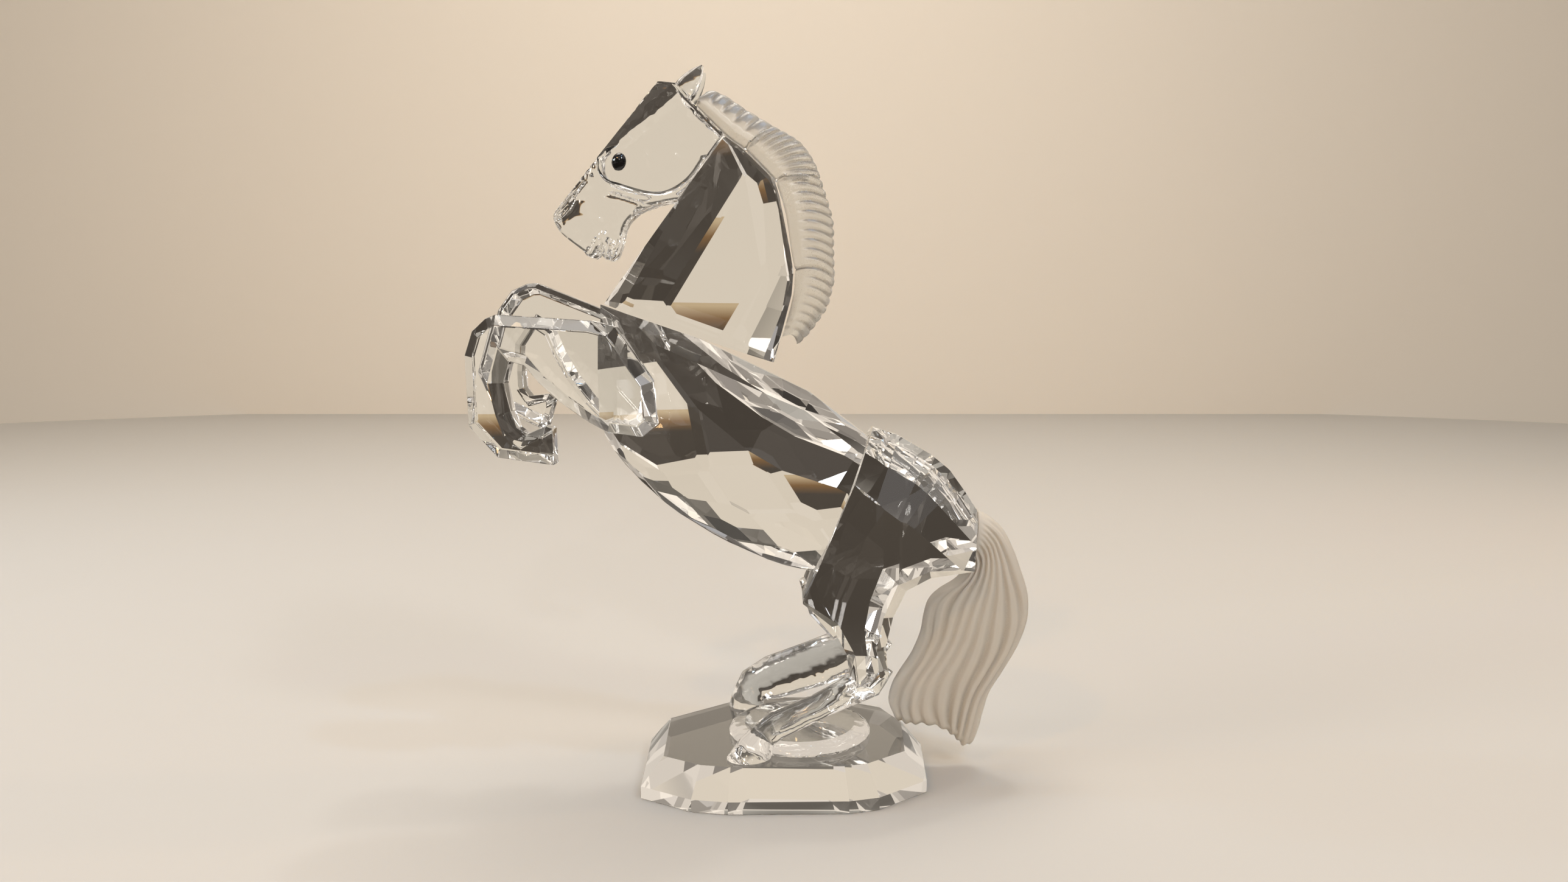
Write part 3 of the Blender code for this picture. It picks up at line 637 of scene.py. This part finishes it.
def combedStrandsTree():
    tree = bpy.data.node_groups.new("combed strands", "GeometryNodeTree")
    tree.interface.new_socket("Geometry", in_out="INPUT", socket_type="NodeSocketGeometry")
    for label, value in (("Groove Depth", 0.0005), ("Groove Sharpness", 3.0), ("Hair Depth", 0.00004),
                         ("Hairs per Strand", 4.0), ("Wander", 0.25), ("Wander Scale", 90.0)):
        tree.interface.new_socket(label, in_out="INPUT", socket_type="NodeSocketFloat").default_value = value
    tree.interface.new_socket("Seed", in_out="INPUT", socket_type="NodeSocketFloat")
    tree.interface.new_socket("Material", in_out="INPUT", socket_type="NodeSocketMaterial")
    tree.interface.new_socket("Geometry", in_out="OUTPUT", socket_type="NodeSocketGeometry")
    given = tree.nodes.new("NodeGroupInput").outputs
    result = tree.nodes.new("NodeGroupOutput").inputs

    def attribute(label):
        made = tree.nodes.new("GeometryNodeInputNamedAttribute")
        made.data_type = "FLOAT"
        made.inputs["Name"].default_value = label
        return made.outputs["Attribute"]

    def product(first, second):
        return mathNode(tree, "MULTIPLY", first, second)

    strand, comb = attribute("strand"), attribute("comb")
    noise = tree.nodes.new("ShaderNodeTexNoise")
    noise.noise_dimensions = "4D"
    noise.inputs["Detail"].default_value = 1.0
    tree.links.new(given["Wander Scale"], noise.inputs["Scale"])
    tree.links.new(given["Seed"], noise.inputs["W"])
    wander = product(mathNode(tree, "SUBTRACT", noise.outputs["Fac"], 0.5), given["Wander"])
    phase = mathNode(tree, "ADD", strand, wander)
    wave = mathNode(tree, "ABSOLUTE", mathNode(tree, "COSINE", product(phase, math.pi)))
    groove = mathNode(tree, "POWER", wave, given["Groove Sharpness"])
    hairTurn = product(product(phase, given["Hairs per Strand"]), math.tau)
    hair = product(mathNode(tree, "ADD", mathNode(tree, "SINE", hairTurn), 1.0), 0.5)
    deep = mathNode(tree, "ADD", product(groove, given["Groove Depth"]), product(hair, given["Hair Depth"]))
    inward = product(product(deep, comb), -1.0)
    normal = tree.nodes.new("GeometryNodeInputNormal")
    push = tree.nodes.new("ShaderNodeVectorMath")
    push.operation = "SCALE"
    tree.links.new(normal.outputs["Normal"], push.inputs[0])
    tree.links.new(inward, push.inputs["Scale"])
    moved = tree.nodes.new("GeometryNodeSetPosition")
    tree.links.new(given["Geometry"], moved.inputs["Geometry"])
    tree.links.new(push.outputs["Vector"], moved.inputs["Offset"])
    # How deep each spot is grooved is kept for the frosted finish, which paints shade into the grooves by it.
    kept = tree.nodes.new("GeometryNodeStoreNamedAttribute")
    kept.data_type = "FLOAT"
    kept.inputs["Name"].default_value = "groove"
    tree.links.new(moved.outputs["Geometry"], kept.inputs["Geometry"])
    grooveShadeShare = tree.nodes.new("ShaderNodeMath")
    grooveShadeShare.operation = "MULTIPLY"
    grooveShadeShare.use_clamp = True
    tree.links.new(groove, grooveShadeShare.inputs[0])
    tree.links.new(comb, grooveShadeShare.inputs[1])
    tree.links.new(grooveShadeShare.outputs[0], kept.inputs["Value"])
    smooth = tree.nodes.new("GeometryNodeSetShadeSmooth")
    tree.links.new(kept.outputs["Geometry"], smooth.inputs["Geometry"])
    real = tree.nodes.new("GeometryNodeRealizeInstances")
    tree.links.new(smooth.outputs["Geometry"], real.inputs["Geometry"])
    finish = tree.nodes.new("GeometryNodeSetMaterial")
    tree.links.new(real.outputs["Geometry"], finish.inputs["Geometry"])
    tree.links.new(given["Material"], finish.inputs["Material"])
    tree.links.new(finish.outputs["Geometry"], result["Geometry"])
    return tree


combedStrands = combedStrandsTree()


def combPiece(piece, settings):
    modifier = piece.modifiers.new("comb", "NODES")
    modifier.node_group = combedStrands
    for item in combedStrands.interface.items_tree:
        if item.in_out == "INPUT" and item.name in settings:
            modifier[item.identifier] = settings[item.name]
    keepResult(piece)


def domed(reach, least):
    # The half thickness near an edge, from least at the edge to 1 at a reach of 1.
    return max(math.sqrt(1 - (1 - reach) ** 2), least)


maneValues = {
    # neck edge, outer edge, strands, where the grooves begin, how far the strands bow, notch between strands
    "tufts": ((((-16.2, 125.2), (-10.8, 119.9), (-7.2, 117.3)),
               ((-14.3, 128.2), (-12.6, 128.2), (-10.1, 127.0), (-7.4, 125.2), (-4.4, 123.4), (-2.0, 122.0)),
               5, 0.30, 0.2, 0.10),
              (((-7.2, 117.3), (-1.7, 111.8)),
               ((-2.0, 122.0), (2.0, 119.8), (4.1, 117.9), (5.8, 115.2), (6.9, 112.4)),
               8, 0.12, 0.6, 0.12),
              (((-1.7, 111.8), (0.0, 106.2), (1.1, 99.2), (1.8, 95.7)),
               ((6.9, 112.4), (8.5, 107.5), (9.3, 104.0), (9.4, 99.0), (9.6, 94.0)),
               10, 0.10, 1.2, 0.28),
              (((1.8, 95.7), (1.4, 90.8), (-0.6, 83.2)),
               ((9.6, 94.0), (8.9, 91.0), (8.2, 88.6), (6.5, 86.0), (4.5, 83.4), (2.6, 81.6)),
               8, 0.15, 1.0, 0.22)),
    "smoothing": 6,
    "gap": 0.3,  # the film of glue on the neck
    "half": (2.0, 2.5, 2.45, 2.1, 1.5, 0.7),
    "rowsPerStrand": 14,
    "across": 28,
    "crowding": 1.15,  # above 1 the spots stand closer near the outer edge
    "notchSharpness": 4,
    "tipReach": 0.07,  # the share of the width over which the edge grows thin
    "tipLeast": 0.06,
    "grooveGrowth": 0.45,  # the share of the width over which a groove reaches its depth
    "grooveAtNeck": 0.4,
    "grooveEnd": (1.02, 0.12),  # where the grooves fade out at the outer edge
    "seamWidth": 0.04,  # of a tuft, and as a share of a groove's depth
    "seamDepth": 0.9,
    "comb": {"Groove Depth": 0.00030, "Groove Sharpness": 7.0, "Hair Depth": 0.00003, "Hairs per Strand": 2.0,
             "Wander": 0.30, "Wander Scale": 110.0, "Seed": 3.0},
}


def makeMane(values):
    rows = []
    first = 0
    across, width, (fadeEnd, fade) = values["across"], values["seamWidth"], values["grooveEnd"]
    for number, (inner, outer, strands, start, bow, notch) in enumerate(values["tufts"]):
        steps = strands * values["rowsPerStrand"]
        last = number == len(values["tufts"]) - 1
        rootPath, edgePath = softened(inner, values["smoothing"]), softened(outer, values["smoothing"])
        for step in range(steps + last):
            share = step / steps
            root, edge = along(rootPath, share), along(edgePath, share)
            run = (edge - root).normalized()
            up = Vector((-run.y, run.x))
            valley = abs(math.cos(math.pi * share * strands)) ** values["notchSharpness"]
            root += run * values["gap"]
            edge -= run * notch * valley
            seam = max(eased(width, 0.0, share) if number else 0.0,
                       0.0 if last else eased(1 - width, 1.0, share))
            spots, halves, strand, comb = [], [], [], []
            for k in range(across):
                reach = 1 - (1 - k / (across - 1)) ** values["crowding"]
                spots.append(root.lerp(edge, reach) + up * bow * 4 * reach * (1 - reach))
                tip = min(max((1 - reach) / values["tipReach"], 0.0), 1.0)
                halves.append(between(values["half"], reach) * domed(tip, values["tipLeast"]))
                strand.append(first + share * strands)
                depth = eased(start, min(start + values["grooveGrowth"], 1.0), reach)
                depth *= values["grooveAtNeck"] + (1 - values["grooveAtNeck"]) * reach
                comb.append(max(depth, values["seamDepth"] * seam) * eased(0.0, fade, fadeEnd - reach))
            rows.append((spots, halves, strand, comb))
        first += strands
    made = combShell("frosted_mane", rows, thinFrost)
    combPiece(made, dict(values["comb"], Material=thinFrost))
    return made


maneCrest = makeMane(maneValues)
print("mane combed")


tailValues = {
    "outer": ((36.7, 50.2), (37.8, 49.6), (39.5, 48.6), (41.5, 46.6), (43.4, 43.0), (44.7, 39.6),
              (46.2, 35.1), (46.6, 31.9), (46.3, 28.4), (44.7, 23.9), (42.0, 19.0), (39.5, 14.8),
              (38.3, 10.8), (37.6, 7.7), (36.4, 4.2)),
    "inner": ((35.2, 40.0), (34.5, 38.2), (32.4, 36.2), (29.6, 34.6), (27.6, 32.6), (26.7, 29.8),
              (26.0, 26.0), (24.3, 22.0), (22.1, 18.6), (20.6, 15.8), (20.0, 12.5), (21.2, 9.0)),
    "end": ((21.2, 9.0), (23.6, 8.0), (27.0, 7.9), (30.1, 7.2), (32.6, 5.6), (34.6, 3.6), (36.4, 4.2)),
    "seat": ((35.2, 40.0), (36.7, 50.2)),
    "smoothing": 5,
    "gap": 0.3,
    "half": (4.2, 4.6, 4.2, 3.3, 2.2),
    "lag": 1.4,  # how far the inner edge hangs behind the outer one
    "strands": 9,
    "swings": ((0.5, 2.6, 2.2), (0.22, 5.5, 9.0)),  # how the strands wave: by how many, down and across
    "scallop": 0.45,  # how far the lower end rises between two strands
    "scallopLean": (0.15, 1.0),
    "scallopStart": 0.88,
    "rows": 150,
    "across": 96,
    "edgeCrop": (0.06, 0.0089),  # leaves out the crowded spots at both edges
    "edgeHalf": 0.12,
    "edgeRoundness": 0.8,
    "tipReach": 0.035,  # the share of the length over which the end grows thin
    "tipLeast": 0.1,
    "grooveAtEdge": 0.35,
    "grooveFades": (0.10, 0.04, (0.02, 0.10)),  # from the seat, to the end, from both edges
    "grooveChange": (0.25, 7, 3),  # how the depth changes from strand to strand
    "comb": {"Groove Depth": 0.0009, "Groove Sharpness": 4.0, "Hair Depth": 0.00007, "Hairs per Strand": 3.0,
             "Wander": 0.9, "Wander Scale": 55.0, "Seed": 8.0},
}


def tailComb(values, out, down, roundness):
    fadeIn, fadeOut, edges = values["grooveFades"]
    change, acrossTurn, downTurn = values["grooveChange"]
    deep = values["grooveAtEdge"] + (1 - values["grooveAtEdge"]) * roundness
    varied = 1 - change + change * math.sin(acrossTurn * out + downTurn * down)
    return (eased(0.0, fadeIn, down) * deep * varied * eased(0.0, fadeOut, 1.0 - down)
            * eased(*edges, out) * eased(*edges, 1 - out))


def makeTail(values):
    rows = []
    outerPath, innerPath, endPath = (softened(values[edge], values["smoothing"])
                                     for edge in ("outer", "inner", "end"))
    low, high = (Vector(corner) for corner in values["seat"])
    crop, firstOut = values["edgeCrop"]
    edgeHalf = values["edgeHalf"]
    steps = values["rows"]
    for step in range(steps + 1):
        down = step / steps
        inner, outer = along(innerPath, down ** values["lag"]), along(outerPath, down)
        tip = min((1 - down) / values["tipReach"], 1.0)
        spots, halves, strand, comb = [], [], [], []
        for k in range(values["across"] + 1):
            out = 0.5 - 0.5 * math.cos(math.pi * (crop + (1 - 2 * crop) * k / values["across"]))
            out = (out - firstOut) / (1 - 2 * firstOut)
            fromSeat = low.lerp(high, out) - innerPath[0].lerp(outerPath[0], out)
            fromEnd = along(endPath, out) - endPath[0].lerp(endPath[-1], out)
            spot = inner.lerp(outer, out) + fromSeat * (1 - down) + fromEnd * down
            spot.x += values["gap"]
            roundness = math.sqrt(max(1 - (2 * out - 1) ** 2, 0.0))
            half = edgeHalf + (1 - edgeHalf) * roundness ** values["edgeRoundness"]
            halves.append(between(values["half"], down) * half * domed(tip, values["tipLeast"]))
            swing = sum(wide * math.sin(turn * down + twist * out) for wide, turn, twist in values["swings"])
            strand.append(out * values["strands"] + swing)
            scallop = values["scallop"] * abs(math.cos(math.pi * strand[-1])) ** 2
            scallop *= eased(values["scallopStart"], 1.0, down)
            spots.append(spot + Vector(values["scallopLean"]) * scallop)
            comb.append(tailComb(values, out, down, roundness))
        rows.append((spots, halves, strand, comb))
    made = combShell("frosted_tail", rows, frost)
    combPiece(made, dict(values["comb"], Material=frost))
    return made


tailSweep = makeTail(tailValues)
print("tail combed")


# Head: clear flat panes over a softly moulded muzzle.

headValues = {
    "forelock": (-23.0, 129.3),
    "muzzle": ((-42.1, 106.0), (-42.4, 104.8), (-41.6, 102.9), (-40.2, 101.4), (-38.3, 99.9), (-37.0, 98.9),
               (-36.3, 98.0), (-35.5, 97.7), (-34.7, 98.2), (-34.2, 99.1), (-33.6, 98.1), (-32.7, 97.3),
               (-31.6, 97.5), (-30.8, 98.6), (-30.1, 100.8), (-29.5, 103.2), (-28.4, 104.9), (-26.8, 106.2),
               (-24.6, 107.1), (-22.0, 107.9), (-19.4, 108.2)),
    "nape": ((-12.0, 109.0), (-6.0, 116.0), (-9.7, 118.7), (-17.6, 126.6), (-19.6, 129.0)),
    "cheekFront": ((-23.0, 128.9), (-34.0, 115.5)),
    "jaw": ((-34.0, 115.5), (-33.9, 113.2), (-32.4, 111.2), (-30.1, 110.4), (-27.5, 109.6), (-24.6, 108.9),
            (-22.0, 108.9), (-19.6, 109.8), (-17.4, 111.4), (-15.9, 113.2), (-14.7, 115.3)),
    "cheekBack": ((-8.0, 116.5), (-17.8, 126.2), (-20.0, 128.6)),
    "smoothing": 4,
    "jawSmoothing": 3,
    "faceHalf": 3.7,
    "cutHalf": 9.0,  # wider than the head, for the cutting form
    "cheekLayers": ((5.6, 0.5), (5.2, 0.12), (4.6, 0.0)),  # half thickness, inset
    "forehead": ((-34.0, 5.4, 115.2), (-21.5, 5.4, 125.0), (-23.0, 3.4, 129.3)),  # three points on its facet
    "neckFront": ((-33.3, 89.6), (-10.8, 119.9)),
    "neckGap": 0.15,
    "slabX": (-43.2, -27.0, -4.0),  # fine steps up to the middle value, coarse ones after it
    "slabZ": (96.8, 111.5, 131.0),
    "fineStep": 0.26,
    "coarseStep": 1.15,
    "edgeRound": 0.9,
    "edgeDrop": 1.3,
    "edgeSteepness": 0.98,
    "swelling": ((-36.4, 102.8), 3.0, 0.85),  # middle, reach, height
    "nostril": (((-40.9, 104.9), (-39.4, 106.2), (-38.3, 108.2)), 0.62, 0.95),  # line, half width, depth
    "lipCreases": (((-36.1, 98.7), (-34.5, 101.9)), ((-34.3, 99.2), (-33.9, 102.7)),
                   ((-33.1, 98.0), (-33.3, 101.4)), ((-31.9, 98.0), (-31.5, 100.8))),
    "creaseWidth": 0.30,
    "creaseDepth": 0.42,
    "mouthLine": (((-32.4, 109.2), (-28.1, 107.9), (-25.2, 106.9)), 0.45, 0.34),
    "earKnob": ((-19.8, 2.4, 125.5), 2.0),
    "earTip": (-14.8, 3.0, 132.2),
    "earLeaf": ((0.0, 1.2, 1.3), (0.15, 1.6, 1.9), (0.35, 1.75, 2.15), (0.55, 1.5, 1.95), (0.75, 1.05, 1.4),
                (0.9, 0.5, 0.75), (1.0, 0.12, 0.2)),  # share of its length, half thickness, half width
    "earHollow": 0.88,
    "earSides": 28,
    "largestSoftFace": 0.6,  # square millimetres
    "sharpAngle": 35,
}


def distanceTo(xs, zs, line):
    best = np.full(xs.shape, 1e9)
    for (ax, az), (bx, bz) in zip(line, line[1:]):
        dx, dz = bx - ax, bz - az
        share = np.clip(((xs - ax) * dx + (zs - az) * dz) / max(dx * dx + dz * dz, 1e-9), 0, 1)
        best = np.minimum(best, np.hypot(xs - ax - share * dx, zs - az - share * dz))
    return best


def groove(xs, zs, line, width, depth):
    return depth * np.exp(-(distanceTo(xs, zs, line) / width) ** 2)


def faceHalves(values, xs, zs, edge):
    # Half thicknesses of the muzzle, with its swelling, nostril, lips and rounded edge.
    halves = np.full(xs.shape, values["faceHalf"])
    (mx, mz), reach, height = values["swelling"]
    halves += height * np.exp(-((xs - mx) ** 2 + (zs - mz) ** 2) / (2 * reach * reach))
    halves -= groove(xs, zs, *values["nostril"])
    for crease in values["lipCreases"]:
        halves -= groove(xs, zs, crease, values["creaseWidth"], values["creaseDepth"])
    halves -= groove(xs, zs, *values["mouthLine"])
    near = np.clip(1 - distanceTo(xs, zs, edge) / values["edgeRound"], 0, 1)
    fall = 1 - np.sqrt(1 - near ** 2 * values["edgeSteepness"])
    return halves - values["edgeRound"] * values["edgeDrop"] * fall


def reliefSlab(name, values, edge):
    fine, coarse = values["fineStep"], values["coarseStep"]
    xLine, zLine = (np.concatenate([np.arange(start, middle, fine), np.arange(middle, end, coarse)])
                    for start, middle, end in (values["slabX"], values["slabZ"]))
    xs, zs = np.meshgrid(xLine, zLine, indexing="ij")
    halves = faceHalves(values, xs, zs, edge)
    wide, tall = xs.shape
    near = np.stack([xs, -halves, zs], axis=-1).reshape(-1, 3)
    far = np.stack([xs, halves, zs], axis=-1).reshape(-1, 3)
    points = np.concatenate([near, far]).tolist()
    back = wide * tall
    faces = []
    for i in range(wide - 1):
        for j in range(tall - 1):
            a, b, c, d = i * tall + j, (i + 1) * tall + j, (i + 1) * tall + j + 1, i * tall + j + 1
            faces.append((a, b, c, d))
            faces.append((back + a, back + d, back + c, back + b))
    rim = [i * tall for i in range(wide)] + [(wide - 1) * tall + j for j in range(1, tall)]
    rim += [i * tall + tall - 1 for i in range(wide - 2, -1, -1)] + list(range(tall - 2, 0, -1))
    for a, b in zip(rim, rim[1:] + rim[:1]):
        faces.append((a, back + a, back + b, b))
    return addPiece(name, points, faces, moulded)


def inset(outline, distance):
    # Every side moves in; the outline runs so that its left side is the outside.
    points = [Vector(point) for point in outline]
    area = sum(a.x * b.y - b.x * a.y for a, b in zip(points, points[1:] + points[:1]))
    sign = 1 if area > 0 else -1
    made = []
    for before, here, after in zip(points[-1:] + points[:-1], points, points[1:] + points[:1]):
        into, away = (here - before).normalized(), (after - here).normalized()
        left = Vector((-into.y - away.y, into.x + away.x)) * sign
        made.append(here + left * (distance / max(1.0 + into.dot(away), 0.4)))
    return made


def cutPlate(name, outline, layers, material):
    # A flat plate with bevelled edges; layers of half thickness and inset, from the outside in.
    depths = [(-depth, back) for depth, back in layers] + [(depth, back) for depth, back in reversed(layers)]
    points = [(x, depth, z) for depth, back in depths for x, z in inset(outline, back)]
    rows, sides = len(depths), len(outline)
    return addPiece(name, points, sideFaces(rows, sides) + endFaces(rows, sides), material)


def grind(piece, point, normal):
    # Takes away what lies in front of a plane and closes the cut.
    bm = bmesh.new()
    bm.from_mesh(piece.data)
    cut = bmesh.ops.bisect_plane(bm, geom=[*bm.verts, *bm.edges, *bm.faces], dist=1e-7,
                                 plane_co=Vector(point) * mm, plane_no=Vector(normal), clear_outer=True)
    edges = [item for item in cut["geom_cut"] if isinstance(item, bmesh.types.BMEdge)]
    bmesh.ops.holes_fill(bm, edges=[edge for edge in edges if edge.is_boundary], sides=0)
    bmesh.ops.recalc_face_normals(bm, faces=bm.faces)
    bm.to_mesh(piece.data)
    bm.free()


def roundForm(name, centre, radius, rings=18, sides=28):
    # A ball, whose poles are single points.
    x, y, z = centre
    points = []
    for ring in range(1, rings):
        up = math.pi * ring / rings
        for k in range(sides):
            turn = math.tau * k / sides
            wide = radius * math.sin(up)
            points.append((x + wide * math.cos(turn), y + wide * math.sin(turn), z + radius * math.cos(up)))
    points += [(x, y, z + radius), (x, y, z - radius)]
    faces = sideFaces(rings - 1, sides)
    for k in range(sides):
        j = (k + 1) % sides
        faces.append((k, j, len(points) - 2))
        faces.append(((rings - 2) * sides + k, (rings - 2) * sides + j, len(points) - 1))
    return addPiece(name, points, faces, moulded)


def earLeaf(values, side):
    # A pointed leaf, cupped on its outer face.
    root, tip = Vector(values["earKnob"][0]), Vector(values["earTip"])
    root.y *= side
    tip.y *= side
    run = (tip - root).normalized()
    wideWay = run.cross(Vector((0, 1, 0))).normalized()
    thickWay = wideWay.cross(run).normalized()
    outward = 1 if thickWay.y * side > 0 else -1
    stations = softened(values["earLeaf"], values["smoothing"])
    sides = values["earSides"]
    points = []
    for share, thick, wide in stations:
        for k in range(sides):
            turn = math.tau * k / sides
            hollow = eased(0.25, 1.0, math.sin(turn) * outward) * eased(0.1, 0.35, share)
            cup = 1 - values["earHollow"] * hollow
            points.append(root.lerp(tip, share) + wideWay * wide * math.cos(turn)
                          + thickWay * thick * math.sin(turn) * cup)
    rows = len(stations)
    return addPiece(f"ear_{side}", points, sideFaces(rows, sides) + endFaces(rows, sides), moulded)


def makeHead(values):
    face = [Vector(values["forelock"])] + softened(values["muzzle"], values["smoothing"])
    face += [Vector(point) for point in values["nape"]]
    edge = [tuple(point) for point in face]
    made = reliefSlab("clear_head", values, edge + edge[:1])
    join(made, cutPlate("face_edge", face, ((values["cutHalf"], 0.0),), moulded), "INTERSECT")
    cheek = [Vector(values["cheekFront"][0])] + softened(values["jaw"], values["jawSmoothing"])
    cheek += [Vector(point) for point in values["cheekBack"]]
    join(made, cutPlate("cheek_pane", cheek, values["cheekLayers"], crystal), "UNION")
    low, high = (Vector(point) for point in values["neckFront"])
    run = (high - low).normalized()
    out = Vector((run.y, 0, -run.x))
    grind(made, Vector((low.x, 0, low.y)) - out * values["neckGap"], out)
    for side in (-1, 1):
        a, b, c = (Vector((x, y * side, z)) for x, y, z in values["forehead"])
        normal = (b - a).cross(c - a).normalized()
        grind(made, a, -normal if normal.y * side < 0 else normal)
    (x, y, z), radius = values["earKnob"]
    for side in (-1, 1):
        join(made, roundForm("ear_knob", (x, y * side, z), radius), "UNION")
        join(made, earLeaf(values, side), "UNION")
    smoothSmallFaces(made, values["largestSoftFace"], values["sharpAngle"])
    return made


headPlate = makeHead(headValues)
print("head cut and moulded:", len(headPlate.data.polygons), "faces")


# Eyes: domed black ovals on the cheeks.

eyeValues = {
    "leftSpot": (-29.8, 114.6),
    "rightSpot": (-30.8, 115.7),
    "length": 3.2,
    "width": 2.6,
    "bulge": 1.1,
    "lean": 12.0,
    "base": 5.9,  # from the horse's middle plane
    "sides": 48,
    "rings": 12,
    "largestSoftFace": 3.0,
    "sharpAngle": 50,
}


def makeEye(name, side, spot, values):
    lean = math.radians(values["lean"])
    sides, rings = values["sides"], values["rings"]
    points = []
    for ring in range(rings):
        rise = math.pi / 2 * ring / rings
        for k in range(sides):
            turn = math.tau * k / sides
            across = values["width"] / 2 * math.cos(rise) * math.cos(turn)
            tall = values["length"] / 2 * math.cos(rise) * math.sin(turn)
            points.append((spot[0] + across * math.cos(lean) + tall * math.sin(lean),
                           side * (values["base"] + values["bulge"] * math.sin(rise)),
                           spot[1] - across * math.sin(lean) + tall * math.cos(lean)))
    points.append((spot[0], side * (values["base"] + values["bulge"]), spot[1]))
    faces = sideFaces(rings, sides)
    for k in range(sides):
        faces.append(((rings - 1) * sides + k, (rings - 1) * sides + (k + 1) % sides, len(points) - 1))
    faces.append(tuple(range(sides)))
    made = addPiece(name, points, faces, black)
    smoothSmallFaces(made, values["largestSoftFace"], values["sharpAngle"])
    return made


leftEye = makeEye("left_eye_dome", -1, eyeValues["leftSpot"], eyeValues)
rightEye = makeEye("right_eye_dome", 1, eyeValues["rightSpot"], eyeValues)
print("eyes set")


# Legs and hindquarters: the CAD shapes, the forelegs with polished edges and the hindquarters with moulded
# lower legs.

legValues = {"edge": 0.35, "segments": 2, "angle": 28.0}  # millimetres, and degrees
hindValues = {"mouldedBelow": 24.5, "largestSoftFace": 14.0, "sharpAngle": 42.0}


def makeForeleg(name, node, values):
    made = mergedCopy(name, node, crystal, weldValues)
    bevel = made.modifiers.new("polished edge", "BEVEL")
    bevel.width = values["edge"] * mm
    bevel.segments = values["segments"]
    bevel.limit_method = "ANGLE"
    bevel.angle_limit = math.radians(values["angle"])
    keepResult(made)
    return made


def makeHindquarters(values):
    made = mergedCopy("clear_hindquarters", nodes["hindquarters"], crystal, weldValues)
    smoothSmallFaces(made, values["largestSoftFace"], values["sharpAngle"], values["mouldedBelow"])
    made.data.materials.append(moulded)
    for face in made.data.polygons:
        face.material_index = int(face.use_smooth)
    return made


leftForeleg = makeForeleg("left_foreleg_cut", nodes["left_foreleg"], legValues)
rightForeleg = makeForeleg("right_foreleg_cut", nodes["right_foreleg"], legValues)
hindquarters = makeHindquarters(hindValues)
print("legs and hindquarters finished")

for name in ("plinth", "barrel", "neck"):  # these keep the CAD shapes
    nodes[name].data.materials.clear()
    nodes[name].data.materials.append(crystal)

for piece, name, slot in (
        (maneCrest, "mane", "frosted_crystal"), (tailSweep, "tail", "frosted_crystal"),
        (headPlate, "head", "crystal"), (leftEye, "left_eye", "black_eye"),
        (rightEye, "right_eye", "black_eye"), (leftForeleg, "left_foreleg", "crystal"),
        (rightForeleg, "right_foreleg", "crystal"), (hindquarters, "hindquarters", "crystal")):
    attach(piece, "root")
    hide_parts(name)
print("pieces attached")
